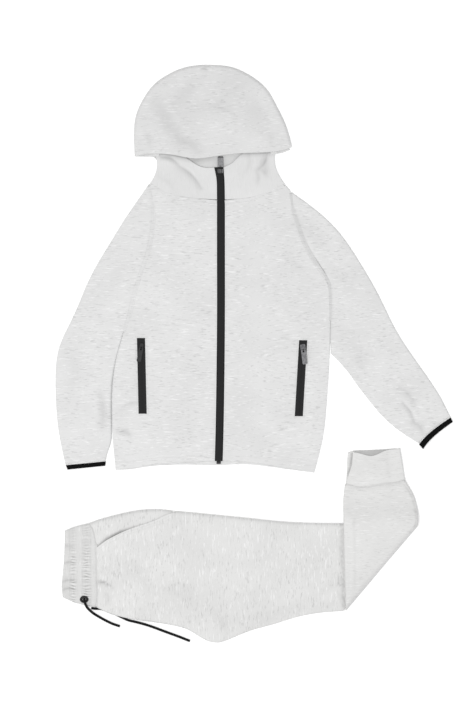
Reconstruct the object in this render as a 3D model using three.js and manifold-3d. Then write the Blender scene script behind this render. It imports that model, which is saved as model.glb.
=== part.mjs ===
// A child's two-piece tracksuit laid out flat: a hooded zip jacket above, and below it the
// trousers, folded lengthways with the lower legs turned up on top.
// Millimetres. +X is the viewer's right, +Y points to the hood, +Z up from the surface.
// "Right" and "left" in names are the wearer's own, so the right front is on the viewer's left.

import * as THREE from "three";
import { mergeVertices } from "three/addons/utils/BufferGeometryUtils.js";
import Module from "manifold-3d";

const wasm = await Module();
wasm.setup();

// Driving dimensions

const WALL = 2; // the double-faced knit
const GAP = 0.3; // between layers that touch
const SEAM = 0.4; // each piece stops this far short of a seam line
const LAYER = WALL + GAP;

const JACKET_TOP = 5.8; // top of the fronts, lying on the back and the zip tape
const SLEEVE_TOP = 6.4; // a flattened sleeve, both its walls and the air between
const NECK_TOP = 5.4;
const HOOD_TOP = 10.5;
const HOOD_ROLL = 7; // how far in the hood's edge takes to round over

const ZIP_HALF = 6.7; // half the black strip that shows
const ZIP_TAPE_HALF = 10.5; // half the tape, with what lies under the fronts
const ZIP_TOP = 5.2;
const POCKET_STRIP = 1;

const LEG_HIDDEN = 3 * LAYER - GAP; // three cloth layers under the one that shows
const LEG_TOP = LEG_HIDDEN + LAYER + 0.6;
const LEG_ROLL = 6;
const BAND_TOP = 11.2; // the waistband is thicker than the legs: elastic inside
const BAND_HIDDEN = 7.2;
const GATHER_PITCH = 8;
const GATHER_DEPTH = 1.1;
const DRAPE = 42; // the turned-up legs come down to the surface over this length
const CUFF_UNDER_TOP = 4.4;
const CUFF_TOP = 10.2;

const CORD = 4.6;
const EYELET = { radius: 7.2, hole: 3.1, thick: 1.5, tilt: 0.14, wide: 1.1, high: 0.93 };

const SLIDER = {
  thick: 2.2, lift: 1.5, end: 1.9, bevel: 0.4, squareness: 0.7, lug: 2.1, lugWidth: 2.2, hole: 1.2,
};
const TAB = { thick: 1.2, window: 3.2, windowLength: 3.4, corner: 1.5, shoulder: 0.9 };
const ZIP_FLARE = 2.2; // the tape shows this much wider at the top of the neck, on the right side

const GREY = { color: 0xe3e3e2, roughness: 0.95, metalness: 0 };
const WARM_GREY = { color: 0xdededa, roughness: 0.95, metalness: 0 };
const BLACK_TAPE = { color: 0x26262a, roughness: 0.75, metalness: 0 };
const BLACK_BINDING = { color: 0x151517, roughness: 0.85, metalness: 0 };
const BLACK_METAL = { color: 0x1a1a1c, roughness: 0.35, metalness: 0.6 };
const GUN_METAL = { color: 0x77777a, roughness: 0.4, metalness: 0.7 };
const CORD_BLACK = { color: 0x222224, roughness: 0.9, metalness: 0 };

// Outlines. Each row is a point [x, y]; a seam that two pieces share is one table.

const HEM_RIGHT = [[-249, -209], [-219, -207], [-190, -201], [-133, -198], [-66, -196.5]];
const HEM_LEFT = [[-57, -196.5], [-16, -197], [22, -201], [65, -207], [109, -214]];
const SIDE_RIGHT = [
  [-249, -209], [-254.5, -150], [-255, -82], [-252, -32], [-239, 22], [-227, 60], [-214, 117],
  [-204, 146], [-192, 180], [-185, 211], [-181, 243], [-182, 269], [-188, 306],
];
const SIDE_LEFT = [
  [109, -214], [125, -151], [132, -82], [136, -19], [138, 62], [136, 128], [112, 164],
  [94, 195], [79, 236], [70, 265], [67, 289], [57, 305],
];
const NECK_SEAM_RIGHT = [[-188, 306], [-160, 290], [-124, 280], [-66, 274]];
const NECK_SEAM_LEFT = [[-52, 274], [-7, 279], [29, 291], [57, 305]];
const ZIP_LINE = [
  [-63, -192], [-61.5, -136], [-60, -46], [-59, 62], [-59, 191], [-59, 278], [-60, 318],
  [-62, 337],
];

const ZIP_BOX = [[-67, -197.5], [-59.5, -197.5], [-59.5, -193], [-67, -193]];

const NECK_EDGE_RIGHT = [[-188, 306], [-178, 323], [-174, 341], [-175, 351], [-183, 372]];
const NECK_EDGE_LEFT = [[57, 305], [45, 323], [39, 339], [38, 355], [40, 372]];
const LAPEL_RIGHT = [
  [-183, 372], [-150, 370], [-128, 360], [-118, 352], [-106, 343], [-93, 336], [-84, 335],
  [-69, 337],
];
const LAPEL_LEFT = [[-54, 337], [-40, 343], [-32, 351], [-24, 360], [-8, 371], [40, 372]];

const HOOD_ARC = [
  [-215, 356], [-216, 377], [-215, 423], [-208, 445], [-196, 465], [-183, 485], [-163, 499],
  [-140, 512], [-111, 520], [-81, 521.5], [-39, 518], [-14, 507], [8, 493], [26, 476],
  [40, 450], [54, 423], [63, 400], [68, 372],
];
const HOOD_FACE = [
  [68, 372], [49, 366], [18, 363], [-22, 362], [-59, 358], [-82, 354], [-104, 351],
  [-118, 353], [-144, 359], [-163, 361], [-194, 360.5], [-215, 356],
];
const HOOD_CENTRE = [-76, 425];

const SLEEVE_RIGHT_OUTER = [
  [-189, 306], [-207, 280], [-230, 248], [-255, 206], [-277, 171], [-295, 141], [-316, 87],
  [-338, 42], [-354, 9], [-357, -75], [-352, -140], [-339, -199],
];
const SLEEVE_RIGHT_INNER = [
  [-182, 269], [-181, 243], [-185, 211], [-192, 180], [-204, 146], [-214, 117], [-227, 60],
  [-239, 22], [-252.5, -32], [-255.6, -82], [-258, -154], [-266, -192],
];
const SLEEVE_LEFT_OUTER = [
  [67.5, 292], [112, 260], [150, 225], [178, 186], [202, 147], [227, 103], [254, 45], [277, 9],
  [310, -37], [342, -86], [354, -113],
];
const SLEEVE_LEFT_INNER = [
  [70, 265], [79, 236], [94, 195], [114, 165], [138.5, 132], [139.5, 62], [139.5, 0],
  [159, -19.5], [184, -55.5], [212, -91.5], [241, -125], [267.5, -144.5], [297, -162],
];

const BAND_LEFT = [[-344, -438], [-346, -421], [-342, -370], [-340, -317]];
const BAND_SEAM = [
  [-283, -456], [-281, -428], [-283, -406], [-283, -370], [-284, -348], [-285.5, -334],
  [-290, -315], [-298, -304],
];
const BAND_UPPER = [[-340, -317], [-322, -310], [-298, -304]];
const BAND_LOWER = [[-344, -438], [-320, -449], [-309, -452], [-283, -456]];

const LEG_UPPER = [
  [-298, -304], [-279, -297], [-237, -286], [-205, -280], [-169, -278.5], [-147, -281],
  [-122, -283.5], [-25, -293], [65, -302], [146, -304], [227, -305], [290, -306],
];
const LEG_LOWER = [
  [-283, -456], [-266, -465], [-237, -474], [-200, -480], [-147, -488], [-115, -497],
  [-91, -514], [-68, -521.5], [-50, -516], [-7, -498], [38, -486], [71, -475], [116, -466],
  [166, -463],
];
// The hidden layers draw back here, so that a drawcord lies tucked under the leg's edge.
const CORD_TUCK = [[-283, -449], [-268, -454], [-250, -460], [-234, -467], [-221, -476]];
const TUCK = { x: -258, width: 45, lift: 0.6 };
const LEG_FOLD = [[166, -463], [209, -412], [252, -361], [295, -311]];
const POCKET_SLANT = [
  [-284, -348], [-266, -332], [-239, -318], [-200, -306], [-169, -295], [-150, -283.5],
];

const TURNUP_LEFT = [[166, -463], [164, -424], [162, -352], [161, -302], [161, -246], [164, -233]];
const TURNUP_RIGHT = [[295, -311], [295, -280], [288, -253], [280, -239], [273, -227]];
const CUFF_SEAM = [
  [164, -233], [176, -238], [190, -240], [207, -239], [220, -236], [234, -233], [263, -231],
  [273, -227],
];
const CUFF_LEFT = [[164.4, -242], [166, -233], [170, -217], [176, -201], [178, -174]];
const CUFF_RIGHT = [[274, -242], [272, -227.5], [268, -199], [263, -169]];
const CUFF_UNDER = [
  [164.6, -232], [167, -205], [170, -174], [200, -172], [242, -170], [262, -168], [267, -199],
  [271.5, -226], [263, -230], [234, -232], [220, -235], [207, -238], [190, -239], [176, -237],
];

// Zips on the jacket: each slider's middle, the way its tab lies, and their sizes.
const PULLS = [
  { name: "main_zip", at: [-60, 330.5], along: 90, body: [11.5, 13.5], tab: [10.2, 21.5], rest: 17 },
  { name: "pocket_right_zip", at: [-202, 14.5], along: 260, body: [7.5, 11], tab: [8, 25.5], rest: 6 },
  { name: "pocket_left_zip", at: [88.6, 12], along: 277, body: [10.4, 13], tab: [8.6, 26], rest: 6 },
];
const POCKETS = [
  { name: "pocket_right_tape", top: [-203, 29.5], bottom: [-200, -107.5], width: 15.4 },
  { name: "pocket_left_tape", top: [89, 25.5], bottom: [81, -112], width: 15.4 },
];

// Largest folds: a soft ridge (rise above 0) or trough along a line, so wide on each side.
const JACKET_FOLDS = [
  { from: [64, 170], to: [104, 128], width: 17, rise: -0.9 },
  { from: [20, 250], to: [84, 150], width: 12, rise: 0.5 },
  { from: [-244, -138], to: [-222, -146], width: 6, rise: -1 },
  { from: [-246, -96], to: [-212, -90], width: 7, rise: 0.5 },
  { from: [-150, 150], to: [-90, 40], width: 24, rise: 0.5 },
  { from: [-140, -60], to: [-80, -150], width: 24, rise: -0.4 },
  { from: [10, -30], to: [60, -150], width: 22, rise: 0.5 },
];
const NECK_FOLDS = [
  { from: [-132, 340], to: [-98, 300], width: 7, rise: -1.2 },
  { from: [-150, 344], to: [-112, 306], width: 8, rise: 0.8 },
  { from: [-166, 352], to: [-138, 343], width: 5, rise: -1.1 },
  { from: [20, 356], to: [8, 322], width: 7, rise: 0.9 },
  { from: [30, 338], to: [14, 326], width: 7, rise: -1.2 },
];
const SLEEVE_FOLDS = [
  { from: [90, 242], to: [128, 190], width: 12, rise: -1 },
  { from: [268, -86], to: [306, -140], width: 8, rise: -0.9 },
  { from: [252, -66], to: [280, -104], width: 9, rise: 0.9 },
  { from: [-276, -70], to: [-272, -134], width: 8, rise: -0.8 },
  { from: [-300, 60], to: [-250, 10], width: 14, rise: 0.6 },
];
const HOOD_FOLDS = [
  { from: [-104, 500], to: [-158, 438], width: 13, rise: -2.2 },
  { from: [-184, 436], to: [-160, 392], width: 10, rise: -1.8 },
  { from: [-160, 392], to: [-104, 364], width: 11, rise: -1.8 },
  { from: [-132, 470], to: [-176, 404], width: 12, rise: 1.2 },
  { from: [-40, 490], to: [30, 400], width: 22, rise: -1 },
  { from: [-92, 412], to: [-40, 408], width: 20, rise: 1 },
];
const LEG_FOLDS = [
  { from: [-212, -384], to: [-186, -430], width: 14, rise: -1.1 },
  { from: [-160, -418], to: [-102, -444], width: 13, rise: -1 },
  { from: [-66, -470], to: [-46, -510], width: 13, rise: -1.3 },
  { from: [-58, -486], to: [150, -408], width: 15, rise: 1.2 },
  { from: [-20, -496], to: [140, -446], width: 12, rise: -0.8 },
  { from: [-281, -410], to: [-256, -420], width: 5, rise: -1.2 },
  { from: [136, -336], to: [158, -380], width: 9, rise: -1.1 },
];
const TURNUP_FOLDS = [
  { from: [186, -250], to: [240, -262], width: 9, rise: 0.8 },
  { from: [180, -420], to: [200, -300], width: 10, rise: -0.7 },
  { from: [220, -330], to: [270, -290], width: 12, rise: 0.7 },
];

// Small maths

const vec = (x, y, z = 0) => new THREE.Vector3(x, y, z);
const mix = (a, b, t) => a + (b - a) * t;
const clamp = (t) => Math.min(1, Math.max(0, t));
const smooth = (t) => clamp(t) ** 2 * (3 - 2 * clamp(t));
const rounded = (t) => Math.sqrt(1 - (1 - clamp(t)) ** 2);
const radians = THREE.MathUtils.degToRad;

// A smooth curve through a table's points, as a function of the share of its length.
function through(points) {
  const curve = new THREE.CatmullRomCurve3(points.map(([x, y]) => vec(x, y)), false, "centripetal");
  return (t) => curve.getPointAt(clamp(t));
}

// The height that a table of folds adds at a point.
function foldsAt(folds, x, y) {
  let sum = 0;
  for (const { from, to, width, rise } of folds) {
    const run = [to[0] - from[0], to[1] - from[1]];
    const length = Math.hypot(...run);
    const along = ((x - from[0]) * run[0] + (y - from[1]) * run[1]) / length ** 2;
    const off = ((x - from[0]) * run[1] - (y - from[1]) * run[0]) / length;
    const past = (Math.max(0, -along, along - 1) * length) / width;
    const taper = 0.6 + 0.4 * Math.sin(Math.PI * clamp(along));
    sum += rise * taper * Math.exp(-((off / width) ** 2) - past ** 2);
  }
  return sum;
}

// Geometry builders

// A closed geometry from points and triangles, turned so that its faces point outwards.
function closed(points, triangles) {
  let volume = 0;
  for (const [a, b, c] of triangles) {
    volume += points[a].dot(points[b].clone().cross(points[c]));
  }
  const index = triangles.flatMap(([a, b, c]) => (volume < 0 ? [a, c, b] : [a, b, c]));
  const geometry = new THREE.BufferGeometry().setFromPoints(points);
  geometry.setIndex(index);
  geometry.computeVertexNormals();
  return geometry;
}

// A patch of the plan between four outline curves: bottom and top run to the right, left and
// right run up. It gives the point at shares u across and v up.
function patch({ bottom, right, top, left }) {
  const b = through(bottom);
  const r = through(right);
  const t = through(top);
  const l = through(left);
  const corners = [b(0), b(1), t(0), t(1)];
  return (u, v) => {
    const point = b(u).multiplyScalar(1 - v).addScaledVector(t(u), v);
    point.addScaledVector(l(v), 1 - u).addScaledVector(r(v), u);
    point.addScaledVector(corners[0], -(1 - u) * (1 - v)).addScaledVector(corners[1], -u * (1 - v));
    return point.addScaledVector(corners[2], -(1 - u) * v).addScaledVector(corners[3], -u * v);
  };
}

// Edge kinds. A cut edge stops with a small rounding after easing down a little; a rolled edge
// rounds over and comes down to a level, as cloth does at a fold.
const cut = (droop = 0, reach = 12) => ({ droop, reach, steps: [0, 0.35 * WALL] });
const rolled = (radius, floor, skew = 1) => ({ radius, floor, skew, steps: [0, 0.12, 0.45, 1] });

// Rows of a grid between two edges, as pairs: distance in from one edge, or a share between.
function rowsBetween(first, last, count) {
  const rows = first.steps.map((step) => ({ side: 0, step }));
  for (let k = 1; k < count; k += 1) rows.push({ side: -1, share: k / count });
  return rows.concat([...last.steps].reverse().map((step) => ({ side: 1, step })));
}

// How far in from its edge a row lies, on the outer face or on the inner one.
function inset(edge, step, wall, inner) {
  if (edge.radius === undefined) return step + SEAM * (edge.flush ? 0 : 1);
  const start = inner ? wall : 0;
  return (start + step * (edge.radius - start)) * edge.skew;
}

// One face of a panel as a grid of points. The outer face lies at the height, the inner one a
// wall below it or at a level of its own.
function face({ plan, edges, height, wall, under }, rowsU, rowsV, inner) {
  const share = (row, pair, length) => {
    if (row.side === 0) return inset(pair[0], row.step, wall, inner) / length;
    if (row.side === 1) return 1 - inset(pair[1], row.step, wall, inner) / length;
    const from = inset(pair[0], pair[0].steps.at(-1), wall, inner) / length;
    const to = 1 - inset(pair[1], pair[1].steps.at(-1), wall, inner) / length;
    return mix(from, to, row.share);
  };
  const acrossPair = [edges.left, edges.right];
  const upPair = [edges.bottom, edges.top];
  const middle = plan(0.5, 0).distanceTo(plan(0.5, 1));
  return rowsV.map((rowV) =>
    rowsU.map((rowU) => {
      const guess = share(rowV, upPair, middle);
      const width = plan(0, guess).distanceTo(plan(1, guess));
      const u = share(rowU, acrossPair, width);
      const tall = plan(u, 0).distanceTo(plan(u, 1));
      const v = share(rowV, upPair, tall);
      const point = plan(u, v);
      const reaches = [
        [edges.left, u * width, rowU.side === 0 && rowU.step === 0],
        [edges.right, (1 - u) * width, rowU.side === 1 && rowU.step === 0],
        [edges.bottom, v * tall, rowV.side === 0 && rowV.step === 0],
        [edges.top, (1 - v) * tall, rowV.side === 1 && rowV.step === 0],
      ];
      let z = height(point.x, point.y);
      for (const [edge, distance] of reaches) {
        if (edge.droop) z -= edge.droop * (1 - smooth(distance / edge.reach));
      }
      if (inner) z = under ? under(point.x, point.y) : z - wall;
      for (const [edge, distance, isRim] of reaches) {
        if (edge.radius === undefined) {
          if (isRim) z += 0.3 * wall * (inner ? 1 : -1);
          continue;
        }
        const start = inner ? wall * edge.skew : 0;
        const way = (distance - start) / (edge.radius * edge.skew - start);
        const floor = edge.floor(point.x, point.y);
        z = Math.min(z, mix(floor, z, rounded(way)));
      }
      point.z = z;
      return point;
    }),
  );
}

// The closed body between an upper grid and a lower one, with rings of points between their rims.
function between(upper, lower, rings = []) {
  const rows = upper.length;
  const columns = upper[0].length;
  const points = [...upper.flat(), ...lower.flat()];
  const at = (layer, j, i) => (layer * rows + j) * columns + i;
  const triangles = [];
  for (let j = 0; j < rows - 1; j += 1) {
    for (let i = 0; i < columns - 1; i += 1) {
      for (const layer of [0, 1]) {
        const cell = [[j, i], [j, i + 1], [j + 1, i + 1], [j + 1, i]];
        const [a, b, c, d] = cell.map((p) => at(layer, ...p));
        if (layer === 0) triangles.push([a, b, c], [a, c, d]);
        else triangles.push([a, c, b], [a, d, c]);
      }
    }
  }
  const rim = rimCells(rows, columns);
  let above = rim.map(([j, i]) => at(0, j, i));
  for (const ring of [...rings, null]) {
    const below = rim.map(([j, i], k) => (ring ? points.push(ring[k]) - 1 : at(1, j, i)));
    above.forEach((a, k) => {
      const next = (k + 1) % above.length;
      triangles.push([a, below[k], below[next]], [a, below[next], above[next]]);
    });
    above = below;
  }
  return closed(points, triangles);
}

// The cells round the rim of a grid, in order.
function rimCells(rows, columns) {
  const cells = [];
  for (let i = 0; i < columns - 1; i += 1) cells.push([0, i]);
  for (let j = 0; j < rows - 1; j += 1) cells.push([j, columns - 1]);
  for (let i = columns - 1; i > 0; i -= 1) cells.push([rows - 1, i]);
  for (let j = rows - 1; j > 0; j -= 1) cells.push([j, 0]);
  return cells;
}

// A cloth panel: sides are outline tables, edges say how each side ends.
function panel({ sides, edges, height, wall = WALL, under, across, up }) {
  const spec = { plan: patch(sides), edges, height, wall, under };
  const rowsU = rowsBetween(edges.left, edges.right, across);
  const rowsV = rowsBetween(edges.bottom, edges.top, up);
  return between(face(spec, rowsU, rowsV, false), face(spec, rowsU, rowsV, true));
}

// A closed outline moved inwards by a distance.
function moved(outline, distance) {
  return outline.map((point, k) => {
    const before = outline.at(k - 1);
    const after = outline[(k + 1) % outline.length];
    const a = point.clone().sub(before).normalize();
    const b = after.clone().sub(point).normalize();
    const normal = vec(-a.y - b.y, a.x + b.x).normalize();
    const spread = Math.max(0.5, normal.dot(vec(-a.y, a.x)));
    return point.clone().addScaledVector(normal, distance / spread);
  });
}

// Points along a run of tables that together go once round, corner points kept.
function loopOf(tables, spacing) {
  const loop = [];
  for (const table of tables) {
    const curve = through(table);
    let length = 0;
    for (let k = 1; k < table.length; k += 1) {
      length += Math.hypot(table[k][0] - table[k - 1][0], table[k][1] - table[k - 1][1]);
    }
    const count = Math.max(1, Math.round(length / spacing));
    for (let k = 0; k < count; k += 1) loop.push(curve(k / count));
  }
  const area = loop.reduce((sum, p, k) => sum + p.x * loop.at(k - 1).y - p.y * loop.at(k - 1).x, 0);
  return area > 0 ? loop.reverse() : loop;
}

// A solid of rings one above another, each an outline moved in and set at a height, closed by
// flat faces at both ends.
function stacked(outline, rows) {
  const rings = rows.map(([distance, z]) => moved(outline, distance).map((p) => p.setZ(z)));
  const points = rings.flat();
  const count = outline.length;
  const triangles = [];
  for (let r = 0; r < rows.length - 1; r += 1) {
    for (let k = 0; k < count; k += 1) {
      const next = (k + 1) % count;
      const [a, b] = [r * count + k, r * count + next];
      triangles.push([a, b, b + count], [a, b + count, a + count]);
    }
  }
  const flat = (ring) => {
    const plan = ring.map((p) => new THREE.Vector2(p.x, p.y));
    return THREE.ShapeUtils.triangulateShape(plan, []);
  };
  const top = (rows.length - 1) * count;
  for (const [a, b, c] of flat(rings[0])) triangles.push([a, c, b]);
  for (const [a, b, c] of flat(rings.at(-1))) triangles.push([top + a, top + b, top + c]);
  return closed(points, triangles);
}

// Rows for a stack of cloth layers with rounded lips and a groove between each two.
function layerRows(count, edge, thickness = WALL) {
  const rows = [];
  for (let k = 0; k < count; k += 1) {
    const low = k * (thickness + GAP);
    rows.push([edge + 0.8, low], [edge, low + thickness / 2], [edge + 0.8, low + thickness]);
  }
  return rows;
}

// A flattened tube of cloth between two edge curves, open at both ends. Its section is a loop of
// points, each a share across and a share of the height; the inner wall has the same loop, drawn
// in by the wall.
const TUBE_ROUND = [[0, 0.5], [0.1, 0.78], [0.45, 0.95]];
const TUBE_UNDER = [[0.6, 0.06], [0.12, 0.22]];
const TUBE_ACROSS = 6;
function flatTube({ outer, inner, stations, height, floor = 0, wall = WALL, roll = 4.2, lip, start }) {
  const a = through(outer);
  const b = through(inner);
  const section = [];
  for (const [d, z] of TUBE_ROUND) section.push({ d, z, side: 0 });
  for (let k = 0; k <= TUBE_ACROSS; k += 1) section.push({ share: k / TUBE_ACROSS, z: 1, side: -1 });
  for (const [d, z] of [...TUBE_ROUND].reverse()) section.push({ d, z, side: 1 });
  for (const [d, z] of [...TUBE_UNDER].reverse()) section.push({ d, z, side: 1 });
  for (const share of [1, 0.5, 0]) section.push({ share, z: 0, side: -1 });
  for (const [d, z] of TUBE_UNDER) section.push({ d, z, side: 0 });
  const rings = [];
  for (let n = 0; n <= stations; n += 1) {
    const t = n / stations;
    const width = a(t).distanceTo(b(t));
    const ring = section.map(({ d, share, z, side }) => {
      let s = mix(roll / width, 1 - roll / width, share);
      if (side === 0) s = (d * roll) / width;
      if (side === 1) s = 1 - (d * roll) / width;
      return { s, z };
    });
    rings.push({ t, width, ring });
  }
  const place = ({ t, width, ring }, isInner) =>
    ring.map(({ s, z }) => {
      const drawn = isInner ? mix(wall / width, 1 - wall / width, s) : s;
      const along = mix(start ? start(s) : 0, 1 - (lip ? lip(s) * smooth(z * 2 - 1) : 0), t);
      const point = a(along).lerp(b(along), drawn);
      const full = height(point.x, point.y) - floor;
      point.z = floor + (isInner ? wall + z * (full - 2 * wall) : z * full);
      return point;
    });
  const count = section.length;
  const points = [];
  for (const ring of rings) points.push(...place(ring, false));
  for (const ring of rings) points.push(...place(ring, true));
  const at = (isInner, n, k) => (isInner * (stations + 1) + n) * count + (k % count);
  const triangles = [];
  const quad = (a0, a1, a2, a3) => triangles.push([a0, a1, a2], [a0, a2, a3]);
  for (let k = 0; k < count; k += 1) {
    for (let n = 0; n < stations; n += 1) {
      quad(at(0, n, k), at(0, n, k + 1), at(0, n + 1, k + 1), at(0, n + 1, k));
      quad(at(1, n, k), at(1, n + 1, k), at(1, n + 1, k + 1), at(1, n, k + 1));
    }
    quad(at(0, 0, k), at(1, 0, k), at(1, 0, k + 1), at(0, 0, k + 1));
    quad(at(0, stations, k), at(0, stations, k + 1), at(1, stations, k + 1), at(1, stations, k));
  }
  return closed(points, triangles);
}

// Joins geometries into one solid, or cuts the others out of the first.
function manifoldOf(geometry) {
  const plain = geometry.index ? geometry.toNonIndexed() : geometry.clone();
  plain.deleteAttribute("normal");
  plain.deleteAttribute("uv");
  const merged = mergeVertices(plain, 1e-4);
  return new wasm.Manifold(
    new wasm.Mesh({
      numProp: 3,
      vertProperties: merged.attributes.position.array,
      triVerts: new Uint32Array(merged.index.array),
    }),
  );
}
function joined(geometries) {
  const [first, ...others] = geometries.map(manifoldOf);
  const result = others.reduce((sum, solid) => sum.add(solid), first).getMesh();
  const geometry = new THREE.BufferGeometry();
  geometry.setAttribute("position", new THREE.BufferAttribute(result.vertProperties, 3));
  geometry.setIndex(new THREE.BufferAttribute(result.triVerts, 1));
  geometry.computeVertexNormals();
  return geometry;
}

const suit = new THREE.Group();
function add(name, geometry, finish) {
  const mesh = new THREE.Mesh(geometry, new THREE.MeshStandardMaterial(finish));
  mesh.name = name;
  suit.add(mesh);
  return mesh;
}

// Jacket body

const jacketHeight = (x, y) =>
  Math.max(JACKET_TOP - 0.2, JACKET_TOP + 0.3 + foldsAt(JACKET_FOLDS, x, y));
const zipSide = (side, lead = ZIP_HALF) => ZIP_LINE.map(([x, y]) => [x + side * lead, y]);
const zipBelowNeck = (side) => [
  ...zipSide(side).slice(0, 5),
  [ZIP_LINE[5][0] + side * ZIP_HALF, NECK_SEAM_LEFT[0][1]],
];

// The back runs 2 mm past the fronts at the hem.
function jacketBack() {
  const hem = [...HEM_RIGHT.slice(0, 4), [-60, -199.5], ...HEM_LEFT.slice(1)];
  const lower = hem.map(([x, y], k) => [x, y - (k > 0 && k < hem.length - 1 ? 1.5 : 0)]);
  const neck = [[57, 305], [0, 294], [-60, 290], [-130, 294], [-188, 306]];
  const outline = loopOf([lower, SIDE_LEFT, neck, [...SIDE_RIGHT].reverse()], 26);
  return stacked(outline, layerRows(1, SEAM));
}
add("jacket_back", jacketBack(), GREY);

const frontGrid = { across: 8, up: 18, height: jacketHeight };
const sideEdge = cut(1.3, 12);
add(
  "front_right",
  panel({
    sides: { bottom: HEM_RIGHT, right: zipBelowNeck(-1), top: NECK_SEAM_RIGHT, left: SIDE_RIGHT },
    edges: { left: sideEdge, right: cut(), bottom: cut(0.3, 8), top: cut() },
    ...frontGrid,
  }),
  GREY,
);
add(
  "front_left",
  panel({
    sides: { bottom: HEM_LEFT, right: SIDE_LEFT, top: NECK_SEAM_LEFT, left: zipBelowNeck(1) },
    edges: { left: cut(), right: sideEdge, bottom: cut(0.3, 8), top: cut() },
    ...frontGrid,
  }),
  GREY,
);

// Zips: the main tape lies on the back, its edges under the fronts; pocket tapes lie on the fronts

const zipAt = through(ZIP_LINE);
function zipCentre(y) {
  let [low, high] = [0, 1];
  for (let k = 0; k < 20; k += 1) {
    const middle = (low + high) / 2;
    if (zipAt(middle).y < y) low = middle;
    else high = middle;
  }
  return zipAt(low).x;
}
function zipHeight(x, y) {
  const off = Math.abs(x - zipCentre(y));
  return mix(ZIP_TOP, LAYER + 1, smooth((off - ZIP_HALF + 1.6) / 1.2));
}
const tapeEnd = (y) => [-1, 0, 1].map((side) => [zipCentre(y) + side * ZIP_TAPE_HALF, y]);
add(
  "main_zip_tape",
  panel({
    sides: {
      bottom: tapeEnd(-192),
      right: zipSide(1, ZIP_TAPE_HALF),
      top: tapeEnd(337),
      left: zipSide(-1, ZIP_TAPE_HALF),
    },
    edges: { left: cut(), right: cut(), bottom: cut(), top: cut() },
    height: zipHeight,
    under: () => LAYER,
    wall: 1,
    across: 8,
    up: 12,
  }),
  BLACK_TAPE,
);
const boxOutline = ZIP_BOX.map(([x, y]) => vec(x, y));
const boxRows = [[0.4, LAYER], [0, LAYER + 0.5], [0, ZIP_TOP - 0.3], [0.5, ZIP_TOP + 0.2]];
add("main_zip_box", stacked(boxOutline, boxRows), BLACK_METAL);

for (const { name, top, bottom, width } of POCKETS) {
  const end = ([x, y]) => [[x - width / 2, y], [x, y], [x + width / 2, y]];
  const run = (side) =>
    [0, 0.5, 1].map((t) => [
      mix(bottom[0], top[0], t) + (side * width) / 2,
      mix(bottom[1], top[1], t),
    ]);
  const geometry = panel({
    sides: { bottom: end(bottom), right: run(1), top: end(top), left: run(-1) },
    edges: { left: cut(), right: cut(), bottom: cut(), top: cut() },
    height: (x, y) => jacketHeight(x, y) + GAP + POCKET_STRIP,
    wall: POCKET_STRIP,
    across: 2,
    up: 8,
  });
  add(name, geometry, BLACK_TAPE);
}

// Sliders and their pull tabs. Both are made lying along +Y from the tab's hinge, which is the
// origin, and turned to the way the tab lies.
function sliderSolid([width, length]) {
  const { bevel, squareness } = SLIDER;
  const centre = SLIDER.end - length / 2;
  const plate = new THREE.Shape();
  plate.absellipse(0, 0, width / 2, length / 2, 0, Math.PI * 2);
  const outline = plate.getPoints(10).slice(0, -1).map((p) => {
    const reach = Math.max(Math.abs(p.x) / (width / 2), Math.abs(p.y) / (length / 2));
    return vec(p.x, p.y).divideScalar(reach ** squareness).setY(p.y / reach ** squareness + centre);
  });
  const top = -SLIDER.lift;
  const below = top - SLIDER.thick;
  const bodyRows = [[bevel, below], [0, below + bevel], [0, top - bevel], [bevel, top]];
  const body = stacked(outline, bodyRows);
  const lug = new THREE.Shape();
  const root = -SLIDER.lift - 0.6;
  lug.moveTo(-SLIDER.lug, root);
  lug.lineTo(-SLIDER.lug, 0);
  lug.absarc(0, 0, SLIDER.lug, Math.PI, 0, true);
  lug.lineTo(SLIDER.lug, root);
  const hole = new THREE.Path();
  hole.absarc(0, 0, SLIDER.hole, 0, Math.PI * 2);
  lug.holes.push(hole);
  const extrusion = { depth: SLIDER.lugWidth, bevelEnabled: false, curveSegments: 5 };
  const bridge = new THREE.ExtrudeGeometry(lug, extrusion);
  bridge.rotateY(Math.PI / 2).rotateX(Math.PI / 2);
  bridge.translate(-SLIDER.lugWidth / 2, 0, 0);
  return joined([body, bridge]);
}
function tabSolid([width, length]) {
  const half = width / 2;
  const start = -TAB.thick / 2;
  const plate = new THREE.Shape();
  const { shoulder, corner } = TAB;
  plate.moveTo(-half + shoulder, start);
  plate.lineTo(half - shoulder, start);
  plate.lineTo(half, start + shoulder);
  plate.lineTo(half, length - corner);
  plate.lineTo(half - corner, length);
  plate.lineTo(-half + corner, length);
  plate.lineTo(-half, length - corner);
  plate.lineTo(-half, start + shoulder);
  const window = new THREE.Path();
  const near = -start;
  window.moveTo(-TAB.window / 2, near);
  window.lineTo(-TAB.window / 2, near + TAB.windowLength);
  window.lineTo(TAB.window / 2, near + TAB.windowLength);
  window.lineTo(TAB.window / 2, near);
  plate.holes.push(window);
  const geometry = new THREE.ExtrudeGeometry(plate, { depth: TAB.thick, bevelEnabled: false });
  return geometry.translate(0, 0, -TAB.thick / 2);
}
for (const { name, at, along, body, tab, rest } of PULLS) {
  const turn = radians(along - 90);
  const way = vec(-Math.sin(turn), Math.cos(turn));
  const hinge = vec(...at).addScaledVector(way, body[1] / 2 - SLIDER.end);
  const surface = name === "main_zip" ? ZIP_TOP : jacketHeight(...at) + GAP + POCKET_STRIP;
  hinge.z = surface + GAP + SLIDER.thick + SLIDER.lift;
  const slider = add(`${name}_slider`, sliderSolid(body), BLACK_METAL);
  slider.position.copy(hinge);
  slider.rotation.z = turn;
  const metal = name === "pocket_right_zip" ? BLACK_METAL : GUN_METAL;
  const pull = add(`${name}_pull`, tabSolid(tab), metal);
  pull.position.copy(hinge);
  pull.rotation.set(-radians(rest), 0, turn, "ZXY");
}

// Sleeves and their black bindings

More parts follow.
